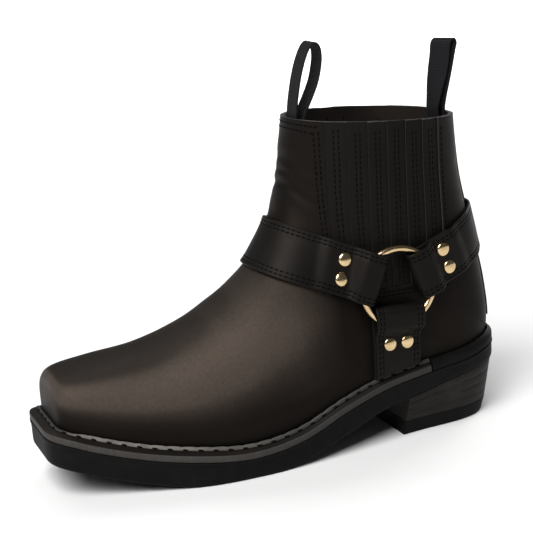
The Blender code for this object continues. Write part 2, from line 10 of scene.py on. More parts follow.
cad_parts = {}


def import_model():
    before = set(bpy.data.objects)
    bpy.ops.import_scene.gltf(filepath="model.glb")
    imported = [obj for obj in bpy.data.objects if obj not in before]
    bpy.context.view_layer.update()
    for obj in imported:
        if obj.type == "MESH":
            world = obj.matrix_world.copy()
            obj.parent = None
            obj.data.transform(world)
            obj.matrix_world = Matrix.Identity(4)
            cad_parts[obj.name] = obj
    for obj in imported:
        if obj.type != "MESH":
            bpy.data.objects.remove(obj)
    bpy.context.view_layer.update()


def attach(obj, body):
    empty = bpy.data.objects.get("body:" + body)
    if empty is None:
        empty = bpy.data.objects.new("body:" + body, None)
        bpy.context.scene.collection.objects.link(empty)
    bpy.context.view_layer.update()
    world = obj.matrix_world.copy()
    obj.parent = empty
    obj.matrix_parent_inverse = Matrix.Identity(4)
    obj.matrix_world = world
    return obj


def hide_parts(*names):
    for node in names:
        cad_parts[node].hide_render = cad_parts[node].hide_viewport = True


MM = 0.001
BODY = "boot"
SIDES = (("lateral", -1), ("medial", 1))
BISECTIONS = 30
TINY = 1e-12
WELD = 0.02 * MM
CUT_NEAR = 0.01 * MM

# Boot coordinates are forward from the heel's back edge, to the medial side, and up.
# This is where the frame's origin lies in them, forward and medial.
ORIGIN = np.array((148.168, -1.317)) * MM

# Leather layers of the upper's 2.6 mm wall
LEATHER = 1.25 * MM
LINING = 1.15 * MM
WALL = 2.6 * MM
GAP = 0.35 * MM

# The last, one row for each girth section from the toe face to the collar, in millimetres: ridge forward
# and height, base forward and height, half width, offset of the middle to the medial side, then the share
# of the height where the section is widest and its squareness above and below that
LAST_COLUMNS = ("ridge_f", "ridge_z", "base_f", "base_z", "half", "mid", "widest", "top_n", "low_n")
LAST = (
    (290, 57.5, 290, 38, 18, 6, 0.50, 2.8, 3.0),
    (288, 66, 288, 35, 25, 6, 0.48, 2.8, 3.2),
    (280, 71, 280, 30, 31, 6, 0.42, 2.7, 3.4),
    (257, 74, 257, 21, 38.5, 5.5, 0.40, 2.5, 3.5),
    (230, 77.5, 230, 14, 43.5, 2.5, 0.38, 2.4, 3.5),
    (203, 87, 203, 10, 46.75, -1.75, 0.36, 2.3, 3.5),
    (179, 101, 178, 8, 47.5, -4, 0.36, 2.2, 3.4),
    (160, 116, 148, 9, 44.75, -5, 0.36, 2.2, 3.3),
    (147.5, 132, 114, 14, 41.5, -3.75, 0.38, 2.2, 3.2),
    (140.5, 145, 78, 18, 38.5, -1.5, 0.42, 2.2, 3.2),
    (137.5, 155, 42, 23, 37, 0, 0.45, 2.2, 3.1),
    (135, 163, 13, 31, 37, 0, 0.47, 2.2, 3.0),
    (133.3, 171, 2, 54, 37, 0, 0.48, 2.2, 2.8),
    (131.7, 179, 3, 86, 37, 0, 0.49, 2.2, 2.6),
    (130, 187.5, 10, 123, 38, 0, 0.50, 2.2, 2.4),
    (128.2, 195.5, 16, 158, 39, 0, 0.50, 2.2, 2.3),
    (126.5, 203.5, 18, 195, 41, 0, 0.50, 2.2, 2.3),
)
LAST_END = len(LAST) - 1
HEEL_ROWS = (10.0, 13.0)
ROW_STEP = 0.02
NORMAL_STEP = 0.01
SIDE_STEP = 0.4 * MM
UPPER_ROWS = 240
UPPER_COLUMNS = 150
UPPER_TUCK = 1.5 * MM
ANGLE_STEPS = 240
LINING_ROWS = 120
LINING_COLUMNS = 90

# Soft creases of the upper: place is a row of the last, width is in rows, depth in millimetres, spread in
# radians round the section from the ridge, and slant in rows per radian. Each has a low ridge on both sides.
CREASE_COLUMNS = ("place", "width", "depth", "spread", "slant")
CREASES = (
    (5.35, 0.28, 0.22, 0.75, 0.10),
    (6.10, 0.32, 0.25, 0.80, 0.15),
    (7.60, 0.35, 0.30, 0.70, 0.00),
    (11.3, 0.34, 0.45, 0.75, -0.35),
    (12.2, 0.30, 0.35, 0.60, 0.30),
    (13.1, 0.45, 0.30, 0.80, -0.20),
)
CREASE_RIDGE = 0.45
CREASE_RIDGE_AT = 1.7

# Heights under the foot in millimetres, every PROFILE_STEP forward from the heel's back edge
PROFILE_STEP = 30
FEATHER = (53, 47.2, 43.8, 40.2, 33, 22.3, 18.3, 21, 26, 34.3, 45.4)
TREAD = (35, 32, 26.3, 21.6, 12.6, 2.8, -1, -0.6, 4.6, 13, 23)

# How far the sole stands out from the upper in millimetres, by the share of the way from toe to heel
REACH = ((0, 7.5), (0.15, 7.5), (0.35, 7.5), (0.55, 6), (0.7, 5.2), (0.85, 4.2), (1, 3.4))
OUTLINE_STEPS = 306
TANGENT_STEPS = 4
WELT_END = 26.6 / 34

# Sole profiles, walked round each section. A point lies out from the upper's lower edge by flare times the
# upper's own flare over the bead, plus reach times the sole's reach, plus out millimetres, and up millimetres
# over the feather line. The look is the material of the face that follows.
EDGE_COLUMNS = ("flare", "reach", "out", "up", "look")
WELT_EDGE = (
    (0, 1, 0.10, -5.60, "edge"),
    (0, 1, 0.35, -5.30, "edge"),
    (0, 1, 0.40, -4.40, "edge"),
    (0, 1, 0.40, -3.20, "edge"),
    (0, 1, 0.35, -2.10, "edge"),
    (0, 1, 0.10, -1.55, "shelf"),
    (0, 1, -0.45, -1.25, "shelf"),
    (0.3, 0.7, 0.40, -0.90, "shelf"),
    (0.6, 0.4, 1.40, -0.50, "shelf"),
    (1, 0, 3.20, -0.25, "shelf"),
    (1, 0, 2.75, -0.45, "shelf"),
    (1, 0, 2.60, 0.55, "bead"),
    (1, 0, 2.35, 1.60, "bead"),
    (1, 0, 1.85, 2.35, "bead"),
    (1, 0, 1.25, 2.55, "bead"),
    (1, 0, 0.75, 2.10, "bead"),
    (1, 0, 0.45, 1.20, "shelf"),
    (0, 0, 0.45, -0.40, "shelf"),
    (0, 0, 0.40, -5.60, "shelf"),
)
RAND_EDGE = (
    (0, 1, 0.10, -5.60, "rubber"),
    (0, 1, 0.40, -5.20, "rubber"),
    (0, 1, 0.45, -3.00, "rubber"),
    (0, 1, 0.40, -1.00, "rubber"),
    (0, 1, 0.10, -0.20, "rubber"),
    (0, 1, -0.45, 0.25, "rubber"),
    (0.5, 0.5, 0.60, 0.95, "rubber"),
    (1, 0, 1.70, 1.45, "rubber"),
    (1, 0, 0.90, 1.60, "rubber"),
    (1, 0, 0.55, 1.20, "rubber"),
    (0, 0, 0.50, -0.20, "rubber"),
    (0, 0, 0.40, -5.60, "rubber"),
)

# The welt's bead: its rows of the profile, its height, its share of that across the toe, and its pinches
BEAD_ROWS = range(11, 17)
BEAD_RISE = 2.4 * MM
BEAD_BASE = -0.1 * MM
BEAD_OUT = 2 * MM
BEAD_FLAT = 0.16
TOE_FLAT = (0.085, 0.125)
PINCH = 0.12
PINCH_POWER = 8
WELT_ROW = 0.25

# Outsole side: out from the sole's edge and up over the feather line, then over the tread line
OUTSOLE_SIDE = ((0.00, -5.90), (0.45, -6.10), (0.65, -6.60), (0.60, -7.20), (0.15, -7.75), (0.10, -8.40))
OUTSOLE_FOOT = ((0.00, 3.2), (-0.20, 1.8), (-0.60, 0.8), (-1.20, 0.2), (-2.00, 0.0))

# Insole side: in from its edge and up over the feather line
INSOLE_INSET = 3.4 * MM
INSOLE_SIDE = ((0.6, 0.0), (0.0, 0.5), (0.0, 1.9), (0.5, 2.3), (1.4, 2.4))

# Heel. Sides of a stack layer and of the top lift: share of the way down, and inset in millimetres
BREAST_TOP = 72 * MM
BREAST_LEAN = 4 * MM
BREAST_CLEAR = 0.6 * MM
BREAST_INSET = 0.2
HEEL_INSET = 1.2 * MM
HEEL_BACK_TAPER = 8 * MM
HEEL_SIDE_TAPER = 0.07
TOP_LIFT = 9 * MM
LIFT_CLEAR = 0.1 * MM
LIFT_SIDE = ((0.0, 0.3), (0.03, 0.0), (0.5, 0.0), (0.9, 0.0), (0.97, 0.25), (1.0, 0.8))
STACK_LAYERS = 4
STACK_SIDE = ((0.0, 0.16), (0.06, 0.0), (0.5, 0.0), (0.94, 0.0), (1.0, 0.16))

# Gussets: side panels of overlapping strips. Heights are over the upper's outside, steps and rows are shares
# of a strip's width.
GUSSET_FRONT = 114 * MM
GUSSET_BACK = 41 * MM
GUSSET_FOOT = 96.5 * MM
GUSSET_STRIPS = 6
GUSSET_ROWS = 64
GUSSET_FLOOR = -1.3 * MM
STRIP_HIGH = -0.10 * MM
STRIP_LOW = -0.95 * MM
FIRST_STRIP_HIGH = -0.55 * MM
STRIP_TOPS = (-0.5, 0.1, -0.3, 0.2, -0.1, -0.4)
STRIP_STEPS = (0.0, 0.03, 0.10, 0.22, 0.32, 0.39, 0.44, 0.50, 0.56, 0.61, 0.68, 0.80, 0.92, 1.0)
STRIP_ROLL = 0.12 * MM
STRIP_ROWS = (0.39, 0.61)
STRIP_GROOVE = 0.16 * MM
STRIP_GROOVE_WIDE = 0.05
STITCH_SPLIT = 1.35 * MM
STITCH_SINK = 0.1 * MM

# Thread: pitch of the stitches, their length, width and height, and how far they turn out of the row
THREAD = {"pitch": 3.4 * MM, "long": 2.4 * MM, "wide": 0.95 * MM, "high": 0.62 * MM, "lean": 0.0}
WELT_THREAD = {"pitch": 9.0 * MM, "long": 3.4 * MM, "wide": 1.3 * MM, "high": 1.0 * MM, "lean": 0.12}
THREAD_LIFT = 0.05 * MM
STRAP_THREAD_LIFT = 0.06 * MM
STITCH_ROUND = 6
STITCH_RINGS = (-0.42, -0.2, 0.2, 0.42)

# Seams of the panels. Rows of stitches are first place, last place and number of points.
SEAM_FIRST = 2.2 * MM
SEAM_SECOND = 4.6 * MM
SIDE_SEAM = 84.5 * MM
COLLAR_DROP = 0.6 * MM
COLLAR_ROW = 7 * MM
COLLAR_POINTS = 120
CORNER_POINTS = 200
FRONT_ROW_SHORT = 6 * MM
BACK_ROW_SHORT = 4 * MM
FOOT_ROW_SHORT = 10 * MM
SIDE_ROW_DROP = 8 * MM
SIDE_ROW_SHORT = 5 * MM
SEAM_POINTS = 80
SIDE_POINTS = 60
GUSSET_SEAM = (0.03, 0.955, 60)
LINING_SEAM = (0.55, 0.94, 30)

# Harness rings
RING_AT = np.array((78, 98.8)) * MM
RING_RADIUS = 23.5 * MM
WIRE = 2.1 * MM
RING_REST = 1.5 * MM
RING_ROUND = 112
WIRE_ROUND = 20

# Straps, measured along the strap from the ring's middle, and across it from its edge
STRAP_THICK = 2.0 * MM
STRAP_LIFT = 0.65 * MM
STRAP_EDGE = 0.7 * MM
STRAP_EDGE_THIN = 0.3
STRAP_PILLOW = 0.22 * MM
STRAP_PILLOW_FROM = 2 * MM
STRAP_GROOVE = 0.22 * MM
STRAP_GROOVE_WIDE = 0.5 * MM
STRAP_STEPS = (0, 0.12, 0.35, 0.7, 1.3, 1.9, 2.3, 2.7, 3.4, 4.2, 4.6, 5.0, 6.5, 8.5, 11.0)
STRAP_ROWS = (2.3, 4.6)
ONE_LAYER = STRAP_LIFT + STRAP_THICK / 2
TWO_LAYERS = STRAP_LIFT + 1.5 * STRAP_THICK + GAP
FOLD_AT = 16.4 * MM
FOLD_RADIUS = WIRE + GAP + 0.25 * MM + STRAP_THICK / 2
FOLD_STEPS = 17
PLANE_TO = 23.5 * MM
LEVEL_FROM = 32 * MM
RETURN_END = 45 * MM
SINGLE_FROM = 54 * MM
TIP_RANGE = (30 * MM, 120 * MM)
STATION = 1.6 * MM
STOP_NEAR = 0.1 * MM
CROWN_STEPS = 34
RAISED = (0.15, 0.5)
FOOT_STEP = 0.1 * MM
FOOT_TRIES = 400
FOOT_CLEAR = 1.0 * MM
FOOT_ROWS = 12
SEWN_EARLY = 9
SEWN_INNER = 14
STRAPS = {
    "instep": {"turn": math.radians(23), "width": 32 * MM},
    "heel": {"turn": math.radians(161.3), "width": 30 * MM},
    "side": {"turn": math.radians(-87.5), "width": 32 * MM},
}
RIVETS_AT = 36.2 * MM
RIVET_APART = 6.2 * MM
RIVET_PROFILE = ((4.35, -0.9), (4.4, 0.0), (4.25, 0.45), (3.8, 0.85), (3.0, 1.2), (1.8, 1.48), (0.6, 1.6))
RIVET_ROUND = 40

# Backstay: places across it are shares of its half width, which is in radians round the last
BACKSTAY_HALF = 0.17
BACKSTAY_FOOT = 12.2
BACKSTAY_TOP = LAST_END - 0.15
BACKSTAY_ROWS = 70
BACKSTAY_THICK = 1.1 * MM
BACKSTAY_GAP = GAP + 0.1 * MM
BACKSTAY_SINK = 0.3 * MM
BACKSTAY_EDGE = (1.0, 0.985, 0.95, 0.86, 0.8, 0.74, 0.5, 0.25)
BACKSTAY_ROUND_FROM = 0.94
BACKSTAY_ROUND_SQUARE = 0.0038
BACKSTAY_SEAM = 0.8
BACKSTAY_GROOVE = 0.14 * MM
BACKSTAY_GROOVE_WIDE = 0.04
HEEL_STRAP_RISE = BACKSTAY_THICK + 0.5 * MM

# Pull loops: rows along the tape, in millimetres away from the inside of the collar and above its edge, then
# places across the tape as shares of its half width, and its half thickness there
TAPE_WIDTH = 15 * MM
TAPE_THICK = 1.2 * MM
TAPE_CLEAR = 0.7 * MM
TAPE_TURNED = 30
TAPE_STEPS = 8
FRONT_LOOP = (
    (0, -20), (0, -8), (0.5, 2), (2.8, 15), (6.2, 28), (10.8, 39), (15.2, 43.5),
    (18.6, 40.5), (19, 32.5), (16, 20.5), (11, 10), (6.2, 1), (3.4, -9), (2.2, -20),
)
BACK_LOOP = (
    (0, -20), (0, -8), (-0.2, 2), (-1.5, 13), (-3.6, 25), (-6.5, 37), (-7.8, 42), (-6.2, 44.5),
    (-3.4, 42), (-2.4, 35), (-0.2, 24), (2.8, 11), (4.4, 1), (3.2, -9), (2.2, -20),
)
BACK_LOOP_TWIST = math.radians(28)
TAPE_ACROSS = (-1, -0.97, -0.9, -0.82, -0.5, 0, 0.5, 0.82, 0.9, 0.97, 1)
TAPE_HALF = ((0, 0.42), (0.82, 0.44), (0.9, 0.5), (0.97, 0.45), (1, 0.2))

# Tint of the leather's gloss, and the share of painted brown sheen (a painted highlight) over the upward part
# of the vamp's surface normal
WARM = (1.0, 0.90, 0.83, 1.0)
BROWN = (1.0, 0.79, 0.64, 1.0)
PAINTED_SHEEN_CURVE = (
    (0.0, 0.05), (0.1, 0.40), (0.28, 0.97), (0.45, 1.0), (0.68, 0.92),
    (0.78, 0.68), (0.84, 0.38), (0.9, 0.22), (1.0, 0.12),
)

# Camera, as the photo was taken
CAMERA_AT = (-0.3137, -0.8576, 0.3431)
CAMERA_YAW = math.radians(20.2)
CAMERA_PITCH = math.radians(14.1)
CAMERA_ROLL = math.radians(-4.5)
CAMERA_LENS = 103.4
CAMERA_SENSOR = 36

# Studio. A softbox has a name, power, size, spread in degrees, spot and target.
WORLD_STRENGTH = 0.08
FLOOR_SIZE = 30
FLOOR_GLOW = (0.7, 2.6)
SOFTBOXES = (
    ("key_box", 66.0, 1.8, 140, (-1.24, -1.10, 2.05), (-0.03, 0.0, 0.06)),
    ("back_wash", 125.0, 4.4, 95, (0.2, 3.4, 2.5), (0.2, 3.3, 0.0)),
    ("heel_fill", 4.0, 1.1, 60, (1.75, 1.2, 0.9), (0.1, 0.0, 0.09)),
)


def ease(low, high, value):
    share = np.clip((np.asarray(value, float) - low) / (high - low), 0, 1)
    return share * share * (3 - 2 * share)


def unit(vectors):
    return vectors / np.linalg.norm(vectors, axis=-1, keepdims=True)


def bisect(low, high, test):
    """Place between low and high where a test that holds at low stops holding."""
    for _ in range(BISECTIONS):
        middle = (low + high) / 2
        holds = test(middle)
        low = np.where(holds, middle, low)
        high = np.where(holds, high, middle)
    return low


def lengths_along(points):
    """Distances along lines of points from their starts."""
    steps = np.linalg.norm(np.diff(points, axis=-2), axis=-1)
    return np.concatenate([np.zeros_like(steps[..., :1]), np.cumsum(steps, axis=-1)], axis=-1)


def at_lengths(wanted, lengths, values):
    return np.stack([np.interp(wanted, lengths, column) for column in values.T], axis=1)


# The last


def smooth_rows(rows, places):
    """Rows of a table at fractional indices, on a smooth curve through all its rows."""
    rows = np.asarray(rows, float)
    last = len(rows) - 1
    places = np.clip(np.asarray(places, float), 0, last)
    index = np.minimum(places.astype(int), last - 1)
    share = (places - index)[..., None]
    a, b, c, d = (rows[np.clip(index + k, 0, last)] for k in (-1, 0, 1, 2))
    square, cube = share**2, share**3
    return (
        (2 * cube - 3 * square + 1) * b
        + (cube - 2 * square + share) * (c - a) / 2
        + (3 * square - 2 * cube) * c
        + (cube - square) * (d - b) / 2
    )


def profile(heights, forward):
    rows = [(h,) for h in heights]
    return smooth_rows(rows, np.asarray(forward) / MM / PROFILE_STEP)[..., 0] * MM


def feather(forward):
    """Height of the line where the upper meets the sole."""
    return profile(FEATHER, forward)


def tread(forward):
    """Height of the outsole's underside, flat on the floor under the ball."""
    return np.maximum(profile(TREAD, forward), 0)


def section(place):
    """Base point, direction up to the ridge, and named sizes of sections of the last, in millimetres."""
    row = dict(zip(LAST_COLUMNS, np.moveaxis(smooth_rows(LAST, place), -1, 0)))
    base = np.stack([row["base_f"], row["base_z"]], -1)
    along = np.stack([row["ridge_f"], row["ridge_z"]], -1) - base
    length = np.linalg.norm(along, axis=-1)
    row["low"] = row["widest"] * length
    row["high"] = length - row["low"]
    return base, along / length[..., None], row


def last_points(place, angle):
    """Points of the upper's outside; angle 0 is the base line, pi the ridge line, lateral between them."""
    place, angle = np.broadcast_arrays(np.asarray(place, float), np.asarray(angle, float))
    base, along, row = section(place)
    sine, cosine = np.sin(angle), np.cos(angle)
    semi = np.where(cosine > 0, row["low"], row["high"])
    power = np.where(cosine > 0, row["low_n"], row["top_n"])
    radius = ((abs(sine) / row["half"]) ** power + (abs(cosine) / semi) ** power) ** (-1 / power)
    spot = base + along * (row["low"] - radius * cosine)[..., None]
    return np.stack([spot[..., 0], row["mid"] - radius * sine, spot[..., 1]], -1) * MM


def last_line(place, angle, out):
    """Points at a height over the upper's outside, and the normals there."""
    ahead, behind = np.minimum(place + NORMAL_STEP, LAST_END), np.maximum(place - NORMAL_STEP, 0)
    across = last_points(ahead, angle) - last_points(behind, angle)
    around = last_points(place, angle + NORMAL_STEP) - last_points(place, angle - NORMAL_STEP)
    normals = unit(np.cross(around, across))
    return last_points(place, angle) + normals * np.asarray(out)[..., None], normals


def side_shares(forward, height):
    """How deep places in side view lie inside the upper's outline (0 at the edge), and their sections."""
    spot = np.stack(np.broadcast_arrays(forward, height), -1) / MM

    def ahead(place):
        base, along, _ = section(place)
        away = spot - base
        return along[..., 0] * away[..., 1] - along[..., 1] * away[..., 0] > 0

    base, along, row = section(bisect(np.zeros(spot.shape[:-1]), LAST_END, ahead))
    lift = ((spot - base) * along).sum(axis=-1) - row["low"]
    semi = np.where(lift < 0, row["low"], row["high"])
    power = np.where(lift < 0, row["low_n"], row["top_n"])
    return 1 - (abs(lift) / semi) ** power, power, row


def side_points(forward, height, side):
    """Points of the upper's outside over places in side view; side is -1 lateral, 1 medial."""
    forward, height = np.broadcast_arrays(np.asarray(forward, float), np.asarray(height, float))
    share, power, row = side_shares(forward, height)
    reach = row["half"] * np.maximum(share, 0) ** (1 / power)
    return np.stack([forward, (row["mid"] + side * reach) * MM, height], -1)


def side_line(forward, height, side, out):
    """Points at a height over the upper's outside over places in side view, and the normals there."""
    along = side_points(forward + SIDE_STEP, height, side) - side_points(forward - SIDE_STEP, height, side)
    up = side_points(forward, height + SIDE_STEP, side) - side_points(forward, height - SIDE_STEP, side)
    normals = unit(np.cross(up, along) * side)
    return side_points(forward, height, side) + normals * np.asarray(out)[..., None], normals


def collar_height(forward):
    front, back = LAST[-1][:2], LAST[-1][2:4]
    share = (np.asarray(forward) / MM - back[0]) / (front[0] - back[0])
    return (back[1] + share * (front[1] - back[1])) * MM


def under_feather(points, rise):
    return points[..., 2] < feather(points[..., 0]) + rise


def feather_angles(places, turn, rise):
    """Angles where sections cross a rise over the feather line on one side, 0 where they lie above it."""

    def under(angles):
        return under_feather(last_points(places, angles * turn), rise)

    found = bisect(np.zeros(len(places)), math.pi / 2, under)
    return np.where(under(0.0), found, 0.0)


# The outline of the sole


def feather_side(turn, rise):
    """Plan points of the upper at a rise over the feather line, from toe to heel on one side."""
    places = np.arange(0, LAST_END, ROW_STEP)
    places = places[: np.argmin(under_feather(last_points(places, 0.0), rise))]
    return last_points(places, feather_angles(places, turn, rise) * turn)[:, :2]


def heel_foot(rise):
    """Plan point where the back line crosses a rise over the feather line."""
    place = bisect(*HEEL_ROWS, lambda row: under_feather(last_points(row, 0.0), rise))
    return last_points(place, 0.0)[:2]


def resample(points):
    lengths = lengths_along(points)
    return at_lengths(np.linspace(0, lengths[-1], OUTLINE_STEPS + 1), lengths, points)


def upper_outline(rise):
    """Closed plan outline of the upper near its lower edge: toe, lateral side, heel, medial side."""
    lateral, medial = feather_side(1, rise), feather_side(-1, rise)
    toe = (lateral[0] + medial[0]) / 2
    heel = heel_foot(rise)
    near, far = (resample(np.vstack([toe, line, heel])) for line in (lateral, medial))
    return np.concatenate([near, far[-2:0:-1]])


def outward(outline):
    tangents = np.roll(outline, -TANGENT_STEPS, axis=0) - np.roll(outline, TANGENT_STEPS, axis=0)
    return unit(np.stack([-tangents[:, 1], tangents[:, 0]], axis=1))


OUTLINE = upper_outline(0.0)
OUTLINE_COUNT = len(OUTLINE)
EVERYWHERE = np.arange(OUTLINE_COUNT)
OUTWARD = outward(OUTLINE)
FLARE = np.maximum(((upper_outline(BEAD_RISE) - OUTLINE) * OUTWARD).sum(axis=1), 0)
SHARES = np.minimum(EVERYWHERE, OUTLINE_COUNT - EVERYWHERE) / OUTLINE_STEPS
SOLE_REACH = np.interp(SHARES, *zip(*REACH)) * MM


def sole_spots(indices, out):
    return OUTLINE[indices] + OUTWARD[indices] * np.broadcast_to(out, len(indices))[:, None]


def sole_loop(out, reach, line, up):
    """Whole outline at one distance out, at a height over the feather or tread line."""
    spots = sole_spots(EVERYWHERE, out + reach * SOLE_REACH)
    return np.column_stack([spots, line(OUTLINE[:, 0]) + up])


def heel_loop(share, tread_share, level, inset):
    """Heel block outline at a share of the way down from the outsole (0) to the floor (1).

    Its height is a share of the tread line's height, plus a level.
    """
    sole = sole_spots(EVERYWHERE, SOLE_REACH - HEEL_INSET - inset)
    breast = BREAST_TOP + inset * BREAST_INSET
    ends = []
    for line in (sole[1:OUTLINE_STEPS], sole[OUTLINE_STEPS + 1 :]):
        line = line[np.argsort(line[:, 0])]
        ends.append((breast, np.interp(breast, line[:, 0], line[:, 1])))
    spots = np.vstack([ends[0], sole[sole[:, 0] < BREAST_TOP - BREAST_CLEAR], ends[1]])
    forward = spots[:, 0]
    back = (BREAST_TOP - forward) / BREAST_TOP
    moved = forward + share * (BREAST_LEAN + (HEEL_BACK_TAPER - BREAST_LEAN) * back)
    height = (tread(forward) - GAP / 2) * tread_share + level
    return np.column_stack([moved, spots[:, 1] * (1 - HEEL_SIDE_TAPER * share), height])


# Meshes


def framed(points):
    points = np.asarray(points, float)
    return np.stack([ORIGIN[0] - points[..., 0], points[..., 1] - ORIGIN[1], points[..., 2]], -1)


def piece(name, points, faces, looks, kinds=None, body=BODY, slot=None, replaces=(), sharp=38):
    """Mesh object from boot coordinates that rides on a body; kinds gives each face's place in looks."""
    mesh = bpy.data.meshes.new(name)
    mesh.from_pydata(framed(points).reshape(-1, 3).tolist(), [], [tuple(f) for f in faces])
    for look in looks:
        mesh.materials.append(LOOKS[look])
    if kinds is not None:
        mesh.polygons.foreach_set("material_index", np.asarray(kinds, np.int32))
    work = bmesh.new()
    work.from_mesh(mesh)
    bmesh.ops.recalc_face_normals(work, faces=work.faces)
    if work.calc_volume(signed=True) < 0:
        bmesh.ops.reverse_faces(work, faces=work.faces)
    work.to_mesh(mesh)
    work.free()
    mesh.shade_smooth()
    mesh.set_sharp_from_angle(angle=math.radians(sharp))
    made = bpy.data.objects.new(name, mesh)
    bpy.context.scene.collection.objects.link(made)
    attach(made, body)
    if replaces:
        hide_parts(*replaces)


def grid_faces(rows, columns):
    corner = (np.arange(rows - 1)[:, None] * columns + np.arange(columns - 1)).ravel()
    return np.stack([corner, corner + 1, corner + columns + 1, corner + columns], axis=1).tolist()


def skin_faces(count, size, closed=False, caps=True):
    """Faces through matching loops, capped at both ends or closed on themselves."""
    faces = []
    for i in range(count if closed else count - 1):
        here, there = i * size, (i + 1) % count * size
        faces += [(here + k, here + (k + 1) % size, there + (k + 1) % size, there + k) for k in range(size)]
    if caps and not closed:
        faces += [tuple(range(size)), tuple(range((count - 1) * size, count * size))]
    return faces


def ladder(first, count, shift):
    """Cap of a long outline as rungs between its two sides; the partner of point k is count - k - shift."""
    faces = []
    for k in range(count // 2):
        corners = (k, k + 1, (count - k - 1 - shift) % count, (count - k - shift) % count)
        kept = list(dict.fromkeys(first + c for c in corners))
        if len(kept) > 2:
            faces.append(tuple(kept))
    return faces


def band(name, loops, look, slot, node, closed=False, **facts):
    """Piece through matching loops that replaces a node."""
    loops = np.asarray(loops)
    faces = skin_faces(*loops.shape[:2], closed)
    piece(name, loops, faces, [look], slot=slot, replaces=[node], **facts)


def slab(name, loops, shift, look, slot, node):
    """Piece through long outlines that replaces a node, capped by ladders."""
    loops = np.stack(loops)
    count, size = loops.shape[:2]
    faces = skin_faces(count, size, caps=False)
    faces += ladder(0, size, shift) + ladder((count - 1) * size, size, shift)
    piece(name, loops, faces, [look], slot=slot, replaces=[node])


def grid_normals(grid):
    return unit(np.cross(np.gradient(grid, axis=0), np.gradient(grid, axis=1)))


def sandwich(top, low):
    """Loops across a flat strip: along its top and back along its underside."""
    return np.concatenate([top, low[:, ::-1]], axis=1)


def thicken(points, faces, thickness):
    """Closed shell: an open skin, its copy inside and a rim. Kinds are 0 outside, 1 inside, 2 rim."""
    normals = np.zeros_like(points)
    for face in faces:
        normals[list(face)] += np.cross(points[face[2]] - points[face[0]], points[face[-1]] - points[face[1]])
    inner = points - unit(normals) * thickness
    count = len(points)
    edges = {(a, b) for face in faces for a, b in zip(face, [*face[1:], face[0]])}
    rim = [(b, a, a + count, b + count) for a, b in edges if (b, a) not in edges]
    inside = [tuple(k + count for k in reversed(face)) for face in faces]
    kinds = [0] * len(faces) + [1] * len(inside) + [2] * len(rim)
    return np.vstack([points, inner]), [*faces, *inside, *sorted(rim)], kinds


def capsule():
    """Points and faces of one stitch of unit length, width and height."""
    size = STITCH_ROUND
    turns = np.linspace(0, 2 * math.pi, size, endpoint=False)
    points = [(-0.5, 0, 0)]
    for x in STITCH_RINGS:
        radius = 0.5 * math.sqrt(1 - abs(2 * x) ** 3)
        points += [(x, radius * math.cos(t), radius * math.sin(t)) for t in turns]
    tip = len(points)
    points.append((0.5, 0, 0))
    faces = []
    for k in range(size):
        after = (k + 1) % size
        faces += [(0, 1 + k, 1 + after), (tip, tip - size + after, tip - size + k)]
        faces += [(i + k, i + size + k, i + size + after, i + after) for i in range(1, tip - size, size)]
    return np.array(points), faces


def stitches(name, lines, look, slot, size=THREAD):
    """Thread along lines, each given as its points and the surface normals there."""
    shape, shape_faces = capsule()
    points, faces = [], []
    for path, normals in lines:
        lengths = lengths_along(path)
        spots = np.arange(size["pitch"] / 2, lengths[-1] - size["pitch"] / 4, size["pitch"])
        before, after = (at_lengths(spots + turn * size["long"] / 2, lengths, path) for turn in (-1, 1))
        along = unit(after - before + TINY)
        up = at_lengths(spots, lengths, normals)
        up = unit(up - along * (up * along).sum(axis=1)[:, None])
        across = np.cross(up, along)
        along, across = along + across * size["lean"], across - along * size["lean"]
        axes = np.stack([along * size["long"], across * size["wide"], up * size["high"]], axis=1)
        for middle, frame in zip(at_lengths(spots, lengths, path), axes):
            faces += [tuple(c + len(points) * len(shape) for c in face) for face in shape_faces]
            points.append(middle + shape @ frame)
    piece(name, np.vstack(points), faces, [look], slot=slot, sharp=60)


# Materials


